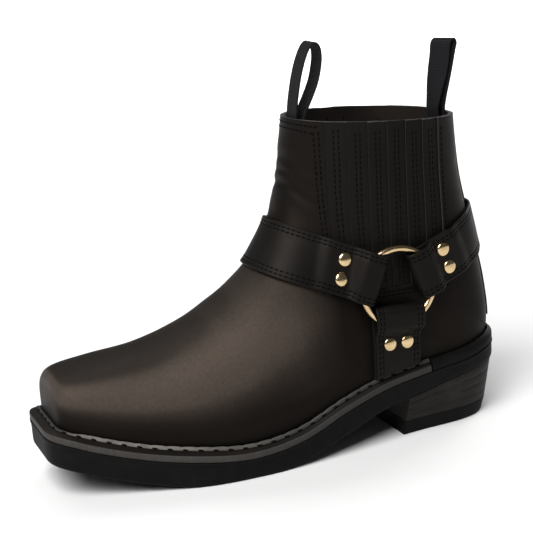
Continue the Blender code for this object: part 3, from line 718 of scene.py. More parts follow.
class Look:
    """A Principled material with helpers for the textures that drive it, in object coordinates."""

    def __init__(self, name, color, rough, **sockets):
        self.made = bpy.data.materials.new(name)
        self.made.use_nodes = True
        self.tree = self.made.node_tree
        self.shader = self.tree.nodes["Principled BSDF"]
        self.place = self.tree.nodes.new("ShaderNodeTexCoord").outputs["Object"]
        self.normal = None
        self.put("Base Color", (*color, 1))
        self.put("Roughness", rough)
        for socket, value in sockets.items():
            self.put(socket.replace("_", " "), value)

    def put(self, socket, value):
        self.shader.inputs[socket].default_value = value

    def drive(self, socket, source):
        self.tree.links.new(source, self.shader.inputs[socket])

    def node(self, kind, links=None, values=None, **settings):
        made = self.tree.nodes.new(kind)
        for key, value in settings.items():
            setattr(made, key, value)
        for key, value in (values or {}).items():
            made.inputs[key].default_value = value
        for key, source in (links or {}).items():
            self.tree.links.new(source, made.inputs[key])
        return made

    def axis(self, key, vector=None):
        return self.node("ShaderNodeSeparateXYZ", {"Vector": vector or self.place}).outputs[key]

    def stretched(self, scale):
        return self.node("ShaderNodeMapping", {"Vector": self.place}, {"Scale": scale}).outputs["Vector"]

    def noise(self, scale, detail=4.0, rough=0.55, vector=None):
        values = {"Scale": scale, "Detail": detail, "Roughness": rough}
        return self.node("ShaderNodeTexNoise", {"Vector": vector or self.place}, values).outputs["Fac"]

    def fibres(self, scales, detail, rough=0.6):
        """Noise drawn out along the axes with the smaller scales."""
        return self.noise(1, detail, rough, self.stretched(scales))

    def cells(self, scale):
        made = self.node("ShaderNodeTexVoronoi", {"Vector": self.place}, {"Scale": scale})
        return made.outputs["Distance"]

    def weave(self, scale, distortion, direction):
        values = {"Scale": scale, "Distortion": distortion}
        made = self.node("ShaderNodeTexWave", {"Vector": self.place}, values, bands_direction=direction)
        return made.outputs["Fac"]

    def ramp(self, value, low, high, to_low=0.0, to_high=1.0):
        values = {"From Min": low, "From Max": high, "To Min": to_low, "To Max": to_high}
        return self.node("ShaderNodeMapRange", {"Value": value}, values).outputs["Result"]

    def curve(self, value, stops):
        """Height of a line through a few stops, each a place and a height."""
        made = self.node("ShaderNodeFloatCurve", {"Value": value})
        points = made.mapping.curves[0].points
        for _ in stops[2:]:
            points.new(0.5, 0.5)
        for point, stop in zip(points, stops):
            point.location = stop
        made.mapping.update()
        return made.outputs["Value"]

    def times(self, first, second):
        return self.node("ShaderNodeMath", {0: first, 1: second}, operation="MULTIPLY").outputs[0]

    def mix(self, share, first, second):
        """Colour between two, each a colour or an output."""
        made = self.node("ShaderNodeMix", {"Factor": share}, data_type="RGBA")
        for key, value in (("A", first), ("B", second)):
            socket = [s for s in made.inputs if s.name == key and s.type == "RGBA"][0]
            if isinstance(value, tuple):
                socket.default_value = (*value, 1)
            else:
                self.tree.links.new(value, socket)
        return [s for s in made.outputs if s.type == "RGBA"][0]

    def mottle(self, scale, detail, low, high, first, second):
        """Colour that drifts between two."""
        return self.mix(self.ramp(self.noise(scale, detail), low, high), first, second)

    def uneven(self, scale, detail, low, high):
        """Roughness that drifts between two values."""
        self.drive("Roughness", self.ramp(self.noise(scale, detail), 0.3, 0.7, low, high))

    def bump(self, height, strength, distance):
        made = self.node("ShaderNodeBump", {"Height": height}, {"Strength": strength, "Distance": distance})
        if self.normal:
            self.tree.links.new(self.normal, made.inputs["Normal"])
        self.normal = made.outputs["Normal"]
        self.drive("Normal", self.normal)

    def grain(self, swell, swell_depth, strength, depth):
        """Leather's slow swell, its fine grain and its pores."""
        self.bump(self.noise(swell, 3), 0.10, swell_depth)
        self.bump(self.noise(480, 6, 0.65), strength, depth)
        self.bump(self.cells(820), strength * 0.6, 0.00012)


def leather(name, dark, warm, rough):
    """Oiled leather: tone that drifts, fine pores and a soft uneven gloss."""
    look = Look(name, dark, rough, Specular_IOR_Level=0.10, Specular_Tint=WARM)
    look.drive("Base Color", look.mottle(16, 5, 0.35, 0.7, dark, warm))
    look.uneven(70, 6, rough - 0.05, rough + 0.07)
    look.grain(55, 0.0012, 0.25, 0.00022)
    return look.made


def vamp_leather():
    """The upper's leather: a painted brown sheen on the vamp's rounded sides, set by which way the surface
    faces, black on its top and by the welt.
    """
    dark, warm, brown = (0.0034, 0.0030, 0.0027), (0.0053, 0.0046, 0.0041), (0.052, 0.0412, 0.0340)
    look = Look("upper_leather", dark, 0.55, Specular_IOR_Level=0.09, Specular_Tint=BROWN)
    facing = look.node("ShaderNodeNewGeometry").outputs["Normal"]
    # Painted sheen: brown laid into the colour where the surface normal points part way up, in place of the
    # key light's highlight on the vamp's sides.
    rounded = look.curve(look.axis("Z", facing), PAINTED_SHEEN_CURVE)
    vamp = look.times(look.ramp(look.axis("Z"), 0.135, 0.085), look.ramp(look.axis("X"), 0.034, 0.004))
    broad = look.ramp(look.noise(24, 4), 0.25, 0.75, 0.82, 1.06)
    fine = look.ramp(look.noise(520, 5, 0.6), 0.3, 0.7, 0.84, 1.16)
    painted_sheen = look.times(look.times(rounded, vamp), look.times(broad, fine))
    look.drive("Base Color", look.mix(painted_sheen, look.mottle(14, 5, 0.35, 0.7, dark, warm), brown))
    look.uneven(60, 6, 0.50, 0.60)
    look.grain(40, 0.0015, 0.30, 0.0002)
    return look.made


def raw_edge(name, color):
    look = Look(name, color, 0.8)
    darker = tuple(0.55 * c for c in color)
    look.drive("Base Color", look.mottle(900, 3, 0.3, 0.7, darker, color))
    look.bump(look.noise(1100, 4), 0.5, 0.0003)
    return look.made


def lining_leather():
    look = Look("lining_leather", (0.022, 0.014, 0.010), 0.85, Specular_IOR_Level=0.2)
    dark, light = (0.0060, 0.0041, 0.0031), (0.0130, 0.0086, 0.0062)
    look.drive("Base Color", look.mottle(45, 5, 0.3, 0.7, dark, light))
    look.bump(look.noise(650, 5, 0.7), 0.5, 0.0003)
    return look.made


def thread(name, color):
    look = Look(name, color, 0.9, Specular_IOR_Level=0.04)
    look.bump(look.noise(2400, 2), 0.4, 0.0001)
    return look.made


def welt_edge():
    """Cut edge of the welt: grey-brown fibres with upright file marks, darker toward the heel."""
    look = Look("welt_edge", (0.11, 0.094, 0.080), 0.75)
    marks = look.fibres((900, 900, 90), 4)
    streaks = look.fibres((60, 60, 900), 5)
    tone = look.mix(look.ramp(marks, 0.3, 0.7), (0.017, 0.0144, 0.0124), (0.034, 0.0295, 0.0252))
    streaked = look.mix(look.ramp(streaks, 0.45, 0.75, 0.0, 0.45), tone, (0.012, 0.0101, 0.0087))
    heelward = look.ramp(look.axis("X"), -0.04, 0.06, 0.0, 0.75)
    look.drive("Base Color", look.mix(heelward, streaked, (0.0085, 0.0073, 0.0064)))
    look.bump(marks, 0.45, 0.0003)
    look.bump(streaks, 0.3, 0.0002)
    return look.made


def welt_bead():
    """Bead of the welt: pale along the toe and ball, darker toward the heel and across the toe."""
    look = Look("welt_bead", (0.13, 0.118, 0.103), 0.6)
    pale = look.mottle(160, 4, 0.35, 0.7, (0.062, 0.056, 0.049), (0.130, 0.118, 0.103))
    # The bead's colour turns darker toward the heel.
    stained = look.mix(look.ramp(look.axis("X"), -0.075, -0.005), pale, (0.019, 0.0166, 0.0143))
    across_toe = look.ramp(look.axis("X"), -0.136, -0.141)
    look.drive("Base Color", look.mix(across_toe, stained, (0.017, 0.0144, 0.0124)))
    look.bump(look.noise(700, 4), 0.35, 0.0003)
    return look.made


def rubber(name, color, rough):
    look = Look(name, color, rough, Specular_IOR_Level=0.08)
    lighter = tuple(1.6 * c for c in color)
    look.drive("Base Color", look.mottle(120, 5, 0.4, 0.75, color, lighter))
    look.bump(look.noise(900, 4, 0.6), 0.25, 0.0002)
    return look.made


def stack_leather():
    """Side of the stacked heel: stained leather layers with fibres lying flat."""
    look = Look("heel_stack_leather", (0.016, 0.013, 0.011), 0.6, Specular_IOR_Level=0.15)
    fibres = look.fibres((70, 70, 900), 6, 0.65)
    tone = look.mix(look.ramp(fibres, 0.35, 0.7), (0.0058, 0.0049, 0.0044), (0.0170, 0.0142, 0.0122))
    patches = look.ramp(look.noise(60, 4), 0.5, 0.75, 0.0, 0.5)
    look.drive("Base Color", look.mix(patches, tone, (0.026, 0.0215, 0.019)))
    look.bump(fibres, 0.5, 0.0003)
    look.bump(look.noise(500, 5), 0.3, 0.0002)
    return look.made


def woven_tape():
    look = Look("woven_tape", (0.012, 0.0115, 0.013), 0.85, Specular_IOR_Level=0.15)
    weft = look.weave(330.0, 0.6, "Z")
    warp = look.weave(260.0, 0.4, "Y")
    dark, light = (0.0036, 0.0035, 0.0040), (0.0105, 0.0102, 0.0118)
    look.drive("Base Color", look.mix(look.ramp(weft, 0.1, 0.9), dark, light))
    look.bump(weft, 0.5, 0.00025)
    look.bump(warp, 0.3, 0.0002)
    return look.made


def brass():
    look = Look("brass", (0.80, 0.62, 0.36), 0.2, Metallic=1.0)
    look.drive("Base Color", look.mottle(90, 4, 0.3, 0.7, (0.60, 0.43, 0.22), (0.75, 0.57, 0.33)))
    look.uneven(260, 5, 0.14, 0.26)
    look.bump(look.fibres((300, 1400, 300), 4), 0.05, 0.0001)
    return look.made


def floor_paint():
    """Pale paint that glows away from the boot, like a studio floor that is lit all the way back."""
    look = Look("floor_paint", (0.74, 0.74, 0.737), 0.7, Specular_IOR_Level=0.1, Emission_Color=(1, 1, 1, 1))
    away = look.node("ShaderNodeVectorMath", {0: look.place}, operation="LENGTH").outputs["Value"]
    look.drive("Emission Strength", look.ramp(away, *FLOOR_GLOW))
    return look.made


LOOKS = {
    "upper": vamp_leather(),
    "gusset": leather("gusset_leather", (0.0037, 0.0033, 0.0031), (0.0056, 0.0049, 0.0044), 0.58),
    "strap": leather("strap_leather", (0.0040, 0.0035, 0.0032), (0.0066, 0.0056, 0.0050), 0.52),
    "raw": raw_edge("raw_edge", (0.010, 0.0087, 0.0077)),
    "dark_raw": raw_edge("dark_raw_edge", (0.018, 0.0145, 0.0125)),
    "lining": lining_leather(),
    "thread": thread("black_thread", (0.0022, 0.0020, 0.0020)),
    "welt_thread": thread("welt_thread", (0.0040, 0.0035, 0.0032)),
    "edge": welt_edge(),
    "shelf": leather("welt_shelf", (0.0058, 0.0050, 0.0045), (0.0105, 0.0088, 0.0076), 0.6),
    "bead": welt_bead(),
    "rubber": rubber("sole_rubber", (0.0036, 0.0034, 0.0033), 0.65),
    "stack": stack_leather(),
    "insole": leather("insole_leather", (0.085, 0.052, 0.032), (0.13, 0.082, 0.05), 0.7),
    "tape": woven_tape(),
    "brass": brass(),
}


# Upper, lining, gussets and backstay


def upper_angles(places, columns):
    """Angles of even points over sections, from the lateral lower edge over the ridge to the medial one."""
    halves = []
    for turn in (1, -1):
        start = feather_angles(places, turn, -UPPER_TUCK)[:, None]
        angles = start + (math.pi - start) * np.linspace(0, 1, ANGLE_STEPS)
        lengths = lengths_along(last_points(places[:, None], turn * angles))
        wanted = np.linspace(0, 1, columns // 2 + 1)
        halves.append(np.array([np.interp(wanted * row[-1], row, a) for row, a in zip(lengths, angles)]))
    return np.concatenate([halves[0], (2 * math.pi - halves[1])[:, -2::-1]], axis=1)


def relief(place, angle):
    """Height of the soft creases over the smooth upper."""
    away = angle - math.pi
    total = 0.0
    for values in CREASES:
        crease = dict(zip(CREASE_COLUMNS, values))
        along = (place - crease["place"] - crease["slant"] * away) / crease["width"]
        fold = CREASE_RIDGE * np.exp(-((abs(along) - CREASE_RIDGE_AT) ** 2)) - np.exp(-(along**2))
        total = total + crease["depth"] * MM * fold * np.exp(-((away / crease["spread"]) ** 2))
    return total


def upper_skin(rows, columns, out):
    """Open skin at one height over the last, in the frame's coordinates, with its toe face closed."""
    places = np.linspace(0, LAST_END, rows)
    angles = upper_angles(places, columns)
    places = places[:, None]
    points, _ = last_line(places, angles, out + relief(places, angles))
    points[-1, :, 2] = collar_height(points[-1, :, 0])
    faces = grid_faces(rows, columns + 1)
    middle = columns // 2
    faces += [(k + 1, k, columns - k, columns - k - 1) for k in range(middle - 1)]
    faces.append((middle, middle - 1, middle + 1))
    work = bmesh.new()
    spots = [work.verts.new(p) for p in framed(points).reshape(-1, 3)]
    for face in faces:
        work.faces.new([spots[k] for k in face])
    bmesh.ops.remove_doubles(work, verts=work.verts, dist=WELD)
    bmesh.ops.recalc_face_normals(work, faces=work.faces)
    return work


def skin_arrays(work):
    """Points in boot coordinates and outward faces of a skin, which is freed."""
    work.verts.index_update()
    points = np.array([v.co for v in work.verts])
    points = np.stack([ORIGIN[0] - points[:, 0], points[:, 1] + ORIGIN[1], points[:, 2]], -1)
    faces = [tuple(v.index for v in face.verts)[::-1] for face in work.faces]
    work.free()
    return points, faces


def cut_windows(work):
    """Opens the two side windows that the gussets fill."""
    reach = 10 * MM
    cuts = (
        ((ORIGIN[0] - GUSSET_FRONT, 0, 0), (1, 0, 0)),
        ((ORIGIN[0] - GUSSET_BACK, 0, 0), (1, 0, 0)),
        ((0, 0, GUSSET_FOOT), (0, 0, 1)),
    )
    for spot, normal in cuts:
        high = [f for f in work.faces if f.calc_center_median().z > GUSSET_FOOT - reach]
        near = list({e for f in high for e in f.edges}) + list({v for f in high for v in f.verts})
        bmesh.ops.bisect_plane(work, geom=high + near, dist=CUT_NEAR, plane_co=spot, plane_no=normal)
    gone = []
    for face in work.faces:
        middle = face.calc_center_median()
        if middle.z > GUSSET_FOOT and GUSSET_BACK < ORIGIN[0] - middle.x < GUSSET_FRONT:
            gone.append(face)
    bmesh.ops.delete(work, geom=gone, context="FACES")


def build_upper():
    outside = upper_skin(UPPER_ROWS, UPPER_COLUMNS, 0.0)
    cut_windows(outside)
    points, faces, kinds = thicken(*skin_arrays(outside), LEATHER)
    looks = ["upper", "upper", "dark_raw"]
    piece("upper_leather", points, faces, looks, kinds, slot="upper_leather", replaces=["upper"])
    inside = upper_skin(LINING_ROWS, LINING_COLUMNS, LINING - WALL)
    points, faces, kinds = thicken(*skin_arrays(inside), LINING)
    piece("upper_lining", points, faces, ["dark_raw", "lining", "dark_raw"], kinds, slot="insole_leather")


def strip_height(strip, step):
    """Height of a gusset strip over the upper, at a share of its width from its front edge."""
    high = STRIP_HIGH if strip else FIRST_STRIP_HIGH
    return high + (STRIP_LOW - high) * step


def strip_columns():
    """Places across the gusset from front to back: share, height, strip, and whether a raw edge follows."""
    columns = []
    for strip in range(GUSSET_STRIPS):
        for step in STRIP_STEPS:
            height = strip_height(strip, step)
            if step == 0:
                height -= STRIP_ROLL
            for row in STRIP_ROWS:
                height -= STRIP_GROOVE * math.exp(-(((step - row) / STRIP_GROOVE_WIDE) ** 2))
            columns.append(((strip + step) / GUSSET_STRIPS, height, strip, step == 1))
    return (np.array(column) for column in zip(*columns))


def gusset_place(share, up, drop=0.0):
    """Side view place on a gusset: share from front to back, up from its foot to the collar."""
    front, back = GUSSET_FRONT - GAP, GUSSET_BACK + GAP
    forward = front + share * (back - front)
    foot = GUSSET_FOOT + GAP
    return forward, foot + up * (collar_height(forward) + drop - foot)


def build_gusset(word, side):
    shares, heights, strips, raw = strip_columns()
    rises = np.linspace(0, 1, GUSSET_ROWS)[:, None]
    place = gusset_place(shares, rises, np.array(STRIP_TOPS)[strips] * MM)
    loops = sandwich(side_line(*place, side, heights)[0], side_line(*place, side, GUSSET_FLOOR)[0])
    row = [*raw[:-1].astype(int), *[0] * (len(raw) + 1)]
    kinds = row * (GUSSET_ROWS - 1) + [1, 1]
    name = "gusset_" + word
    facts = {"slot": "gusset_leather", "replaces": [name], "sharp": 30}
    piece(name + "_strips", loops, skin_faces(*loops.shape[:2]), ["gusset", "raw"], kinds, **facts)
    split = STITCH_SPLIT * GUSSET_STRIPS / (GUSSET_FRONT - GUSSET_BACK)
    lines = []
    for strip in range(GUSSET_STRIPS):
        for within in (0.5 - split, 0.5 + split):
            place = gusset_place((strip + within) / GUSSET_STRIPS, np.linspace(*GUSSET_SEAM))
            lines.append(side_line(*place, side, strip_height(strip, within) - STITCH_SINK))
    stitches(name + "_stitches", lines, "thread", "gusset_leather")


def build_panel_stitches():
    """Rows that close the panels: along the collar in front, round the gussets and down the side seams."""
    front = np.linspace(GUSSET_FOOT, collar_height(GUSSET_FRONT) - FRONT_ROW_SHORT, SEAM_POINTS)
    back = np.linspace(GUSSET_FOOT, collar_height(GUSSET_BACK) - BACK_ROW_SHORT, SEAM_POINTS)
    foot = np.linspace(GUSSET_BACK - SEAM_FIRST, GUSSET_FRONT - FOOT_ROW_SHORT, SEAM_POINTS)
    down = np.linspace(GUSSET_FOOT - SIDE_ROW_DROP, feather(SIDE_SEAM) + SIDE_ROW_SHORT, SIDE_POINTS)
    turns = np.linspace(math.pi / 2, math.pi, CORNER_POINTS)
    lines = []
    rows = [(GUSSET_BACK - SEAM_FIRST, back)]
    for seam in (SEAM_FIRST, SEAM_SECOND):
        place = LAST_END - (seam + COLLAR_DROP) / COLLAR_ROW
        corner = np.interp(GUSSET_FRONT + seam, last_points(place, turns)[:, 0], turns)
        lines.append(last_line(place, np.linspace(corner, 2 * math.pi - corner, COLLAR_POINTS), THREAD_LIFT))
        rows += [
            (GUSSET_FRONT + seam, front),
            (foot, GUSSET_FOOT - seam),
            (SIDE_SEAM + seam - SEAM_SECOND, down),
        ]
    lines += [side_line(*row, side, THREAD_LIFT) for _, side in SIDES for row in rows]
    stitches("panel_stitches", lines, "thread", "upper_leather")


def build_lining_stitches():
    """Where the gussets' rows come through inside the collar."""
    lines = []
    for _, side in SIDES:
        for strip in range(GUSSET_STRIPS):
            place = gusset_place((strip + 0.5) / GUSSET_STRIPS, np.linspace(*LINING_SEAM))
            lines.append(side_line(*place, side, -WALL - THREAD_LIFT))
    stitches("lining_stitches", lines, "thread", "insole_leather")


def build_backstay():
    edge = np.array(BACKSTAY_EDGE)
    across = np.concatenate([-edge, [0], edge[::-1]])
    rounding = np.sqrt(1 - np.maximum(abs(across) - BACKSTAY_ROUND_FROM, 0) ** 2 / BACKSTAY_ROUND_SQUARE)
    groove = BACKSTAY_GROOVE * np.exp(-(((abs(across) - BACKSTAY_SEAM) / BACKSTAY_GROOVE_WIDE) ** 2))
    heights = BACKSTAY_GAP + BACKSTAY_THICK / 2 * (1 + rounding) - groove
    places = np.linspace(BACKSTAY_FOOT, BACKSTAY_TOP, BACKSTAY_ROWS)
    top, _ = last_line(places[:, None], across * BACKSTAY_HALF, heights)
    low, _ = last_line(places[:, None], across * BACKSTAY_HALF, BACKSTAY_GAP - BACKSTAY_SINK)
    band("backstay_strip", sandwich(top, low), "upper", "upper_leather", "backstay")
    over = BACKSTAY_GAP + BACKSTAY_THICK - THREAD_LIFT
    lines = [last_line(places, turn * BACKSTAY_SEAM * BACKSTAY_HALF, over) for turn in (-1, 1)]
    stitches("backstay_stitches", lines, "thread", "upper_leather")


# Sole


def edge_loops(indices, rows, bead):
    """Sections of a strip of the sole at outline indices. Bead scales the height of the bead's rows."""
    loops = []
    for place, values in enumerate(rows):
        row = dict(zip(EDGE_COLUMNS, values))
        out = row["flare"] * FLARE[indices] + row["reach"] * SOLE_REACH[indices] + row["out"] * MM
        up = row["up"] * MM
        if place in BEAD_ROWS:
            up = BEAD_BASE + (up - BEAD_BASE) * bead
        loops.append(np.column_stack([sole_spots(indices, out), feather(OUTLINE[indices, 0]) + up]))
    return np.stack(loops, axis=1)


def bead_heights(indices):
    """Height of the bead: full along the sides, flat across the toe, and pinched at every stitch."""
    full = BEAD_FLAT + (1 - BEAD_FLAT) * ease(*TOE_FLAT, SHARES[indices])
    lengths = lengths_along(sole_spots(indices, BEAD_OUT))
    pinch = np.cos(math.pi * lengths / WELT_THREAD["pitch"]) ** PINCH_POWER
    return full * (1 - PINCH * pinch)


def edge_piece(name, loops, rows, slot, node):
    """Strip of the sole in the looks that its profile names. Its ends have the last of them."""
    kinds = [row[-1] for row in rows]
    looks = list(dict.fromkeys(kinds))
    numbers = [looks.index(kind) for kind in kinds] * (len(loops) - 1) + [len(looks) - 1] * 2
    piece(name, loops, skin_faces(*loops.shape[:2]), looks, numbers, slot=slot, replaces=[node])


def build_welt():
    end = round(WELT_END * OUTLINE_STEPS)
    around = np.arange(-end, end + 1) % OUTLINE_COUNT
    loops = edge_loops(around, WELT_EDGE, bead_heights(around))
    edge_piece("welt_strip", loops, WELT_EDGE, "welt_leather", "welt")
    groove = loops[:, BEAD_ROWS[0]] * (1 - WELT_ROW) + loops[:, BEAD_ROWS[1]] * WELT_ROW
    normals = unit(np.column_stack([OUTWARD[around] * 2, np.ones(len(around))]))
    stitches("welt_stitches", [(groove, normals)], "welt_thread", "welt_leather", WELT_THREAD)


def build_rand():
    first = round(WELT_END * OUTLINE_STEPS) + 1
    behind = np.arange(first, OUTLINE_COUNT - first + 1)
    loops = edge_loops(behind, RAND_EDGE, 1.0)
    edge_piece("heel_rand_strip", loops, RAND_EDGE, "sole_rubber", "heel_rand")


def build_outsole():
    loops = [sole_loop(0, 0, feather, -GAP), sole_loop(0, 0, feather, OUTSOLE_SIDE[0][1] * MM)]
    loops += [sole_loop(out * MM, 1, feather, up * MM) for out, up in OUTSOLE_SIDE]
    loops += [sole_loop(out * MM, 1, tread, up * MM) for out, up in OUTSOLE_FOOT]
    slab("outsole_rubber", loops, 0, "rubber", "sole_rubber", "outsole")


def build_insole():
    loops = [sole_loop(-INSOLE_INSET - inset * MM, 0, feather, up * MM) for inset, up in INSOLE_SIDE]
    slab("insole_sock", loops, 0, "insole", "insole_leather", "insole")


def build_heel():
    joint = 1 - TOP_LIFT / float(tread(BREAST_TOP))
    loops = []
    for layer in range(STACK_LAYERS):
        for step, inset in STACK_SIDE:
            share = (layer + step) / STACK_LAYERS
            loops.append(heel_loop(joint * share, 1 - share, (TOP_LIFT + LIFT_CLEAR) * share, inset * MM))
    slab("heel_stack_layers", loops, 1, "stack", "heel_leather", "heel_stack")
    loops = []
    for step, inset in LIFT_SIDE:
        level = (TOP_LIFT - LIFT_CLEAR) * (1 - step)
        loops.append(heel_loop(joint + (1 - joint) * step, 0, level, inset * MM))
    slab("top_lift_rubber", loops, 1, "rubber", "sole_rubber", "top_lift")


# Straps, rings and rivets


def ring_plane(side):
    """The ring's plane as medial = a * forward + b * height + c, resting over the three folded straps."""
    turns = np.array([strap["turn"] for strap in STRAPS.values()])
    spots = RING_AT + np.stack([np.cos(turns), np.sin(turns)], axis=1) * FOLD_AT
    values = side_points(spots[:, 0], spots[:, 1], side)[:, 1] + side * (RING_REST + ONE_LAYER + FOLD_RADIUS)
    return np.linalg.solve(np.column_stack([spots, np.ones(3)]), values)


def strap_lines(half):
    """Places across a strap, its top and bottom heights there, and which places have stitch rows."""
    edge = np.array(STRAP_STEPS) * MM
    from_edge = np.concatenate([edge, [half], edge[::-1]])
    lines = np.concatenate([edge - half, [0.0], half - edge[::-1]])
    turn = np.clip(from_edge / STRAP_EDGE, 0, 1)
    rounding = STRAP_EDGE_THIN + (1 - STRAP_EDGE_THIN) * np.sqrt(1 - (1 - turn) ** 2)
    top = STRAP_THICK / 2 * rounding + STRAP_PILLOW * ease(STRAP_PILLOW_FROM, half, from_edge)
    for row in STRAP_ROWS:
        top -= STRAP_GROOVE * np.exp(-(((from_edge - row * MM) / STRAP_GROOVE_WIDE) ** 2))
    steps = (*STRAP_STEPS, None, *STRAP_STEPS[::-1])
    rows = [k for k, step in enumerate(steps) if step in STRAP_ROWS]
    return lines, top, STRAP_THICK / 2 * rounding, rows


class Strap:
    """One strap leaving a ring in side view: places along it (u) and across it (w), and the ring's plane."""

    def __init__(self, key, side):
        turn = STRAPS[key]["turn"]
        self.along = np.array((math.cos(turn), math.sin(turn)))
        self.across = np.array((-math.sin(turn), math.cos(turn)))
        self.lines, self.top, self.low, self.rows = strap_lines(STRAPS[key]["width"] / 2)
        self.side = side
        self.plane = ring_plane(side)

    def spots(self, u, w):
        u, w = np.broadcast_arrays(np.asarray(u, float), np.asarray(w, float))
        spots = RING_AT + u[..., None] * self.along + w[..., None] * self.across
        return spots[..., 0], spots[..., 1]

    def on_plane(self, u, out):
        forward, height = self.spots(u, self.lines)
        a, b, c = self.plane
        return np.stack([forward, a * forward + b * height + c + self.side * out, height], -1)

    def on_upper(self, u, out):
        return side_line(*self.spots(u, self.lines), self.side, out)[0]

    def layer(self, stops, over, fold):
        """Stations of a layer: heights over the upper that turn into a height over the ring's plane."""
        u = np.asarray(stops)[:, None]
        blend = ease(PLANE_TO, LEVEL_FROM, u)[..., None]
        return (1 - blend) * self.on_plane(u, fold) + blend * self.on_upper(u, np.reshape(over, (-1, 1)))

    def end(self, tuck):
        """Stations from the tucked end, under the ring's wire and round it, to the outside layer's start."""
        stops = np.arange(tuck, PLANE_TO - STOP_NEAR, -STATION)
        under = self.layer(stops, ONE_LAYER, -FOLD_RADIUS)
        turns = np.radians(np.linspace(-90, 90, FOLD_STEPS))[:, None]
        fold = self.on_plane(FOLD_AT - FOLD_RADIUS * np.cos(turns), FOLD_RADIUS * np.sin(turns))
        return np.concatenate([under, fold])

    def cover(self, stop):
        """Stations of the outside layer, which comes down to the upper beyond the tucked end."""
        stops = np.linspace(PLANE_TO, stop, round((stop - PLANE_TO) / STATION))
        over = TWO_LAYERS + ease(RETURN_END, SINGLE_FROM, stops) * (ONE_LAYER - TWO_LAYERS)
        return self.layer(stops, over, FOLD_RADIUS)

    def crown(self):
        """Points on the upper from the single layer's start to near the upper's ridge or back line."""
        first, last = TIP_RANGE
        start = np.full(len(self.lines), first)
        tips = bisect(start, last, lambda u: side_shares(*self.spots(u, self.lines))[0] > 0)
        bends = np.radians(90) * np.arange(CROWN_STEPS + 1) / (CROWN_STEPS + 0.5)
        u = SINGLE_FROM + (tips - SINGLE_FROM) * np.sin(bends)[:, None]
        return side_points(*self.spots(u, self.lines), self.side)

    def rivet_seat(self, w):
        """Point on the outside layer at the rivets' station, and the normal there."""
        over = TWO_LAYERS + STRAP_THICK / 2 + STRAP_PILLOW / 2
        return side_line(*self.spots(RIVETS_AT, w), self.side, over)


def strap_piece(name, node, strap, stations, sewn):
    """Band with rounded edges about its stations, and its stitch rows over the sewn stretch of stations."""
    normals = grid_normals(stations)
    middle = len(strap.lines) // 2
    normals *= np.sign(normals[sewn.start + SEWN_INNER, middle, 1] * strap.side)
    top = stations + normals * strap.top[:, None]
    low = stations - normals * strap.low[:, None]
    band(name, sandwich(top, low), "strap", "strap_leather", node)
    sewn_rows = [(top[sewn, row], normals[sewn, row]) for row in strap.rows]
    lines = [(points + upright * STRAP_THREAD_LIFT, upright) for points, upright in sewn_rows]
    stitches(name + "_stitches", lines, "thread", "strap_leather")


def build_round_strap(key, rise):
    """Strap from the lateral ring round the instep or the heel to the medial ring, as one folded band."""
    near, far = Strap(key, -1), Strap(key, 1)
    crown = np.concatenate([near.crown(), far.crown()[::-1]])
    normals = grid_normals(crown)
    normals *= -np.sign(normals[0, 0, 1])
    middle = len(crown) / 2 - 0.5
    places = abs(np.arange(len(crown)) - middle) / middle
    over = ONE_LAYER + rise * (1 - ease(*RAISED, places))
    raised = (crown + normals * over[:, None, None])[1:-1]
    ends = [np.concatenate([strap.end(RETURN_END), strap.cover(SINGLE_FROM)]) for strap in (near, far)]
    stations = np.concatenate([ends[0], raised, ends[1][::-1]])
    first = len(near.end(RETURN_END)) - SEWN_EARLY
    strap_piece(key + "_strap_leather", key + "_strap", near, stations, slice(first, len(stations) - first))


def build_side_strap(word, side):
    """Strap from the ring down to the welt's bead, doubled all the way."""
    strap = Strap("side", side)
    feet = np.full(len(strap.lines), RIVETS_AT)
    for _ in range(FOOT_TRIES):
        forward, height = strap.spots(feet, strap.lines)
        feet = np.where(height > feather(forward) + BEAD_RISE + FOOT_CLEAR, feet + FOOT_STEP, feet)
    u = RIVETS_AT + np.linspace(0, 1, FOOT_ROWS)[1:, None] * (feet - RIVETS_AT)
    under = strap.on_upper(u[::-1], ONE_LAYER)
    end = strap.end(RIVETS_AT)
    stations = np.concatenate([under, end, strap.cover(RIVETS_AT), strap.on_upper(u, TWO_LAYERS)])
    name = "side_strap_" + word
    first = len(under) + len(end) - SEWN_EARLY
    strap_piece(name + "_leather", name, strap, stations, slice(first, len(stations) - 1))


def spokes(normal, count):
    """Unit vectors evenly round a normal."""
    first = unit(np.cross(normal, (0, 0, 1)))
    turns = np.linspace(0, 2 * math.pi, count, endpoint=False)[:, None]
    return first * np.cos(turns) + np.cross(normal, first) * np.sin(turns)


def build_ring(word, side):
    a, b, c = ring_plane(side)
    middle = np.array((RING_AT[0], a * RING_AT[0] + b * RING_AT[1] + c, RING_AT[1]))
    normal = unit(np.array((-a, 1.0, -b)))
    rolls = np.linspace(0, 2 * math.pi, WIRE_ROUND, endpoint=False)[:, None]
    out = spokes(normal, RING_ROUND)[:, None] * (RING_RADIUS + WIRE * np.cos(rolls))
    loops = middle + out + normal * WIRE * np.sin(rolls)
    name = "ring_" + word
    band(name + "_brass", loops, "brass", "brass", name, closed=True, body=name)


def build_rivets():
    for key in STRAPS:
        for word, side in SIDES:
            strap = Strap(key, side)
            for number, w in ((1, -RIVET_APART), (2, RIVET_APART)):
                seat, normal = strap.rivet_seat(w)
                rim = spokes(normal, RIVET_ROUND)
                loops = [seat + (rim * radius + normal * up) * MM for radius, up in RIVET_PROFILE]
                name = f"rivet_{key}_{word}_{number}"
                band(name + "_cap", loops, "brass", "brass", name, sharp=50)


# Pull loops


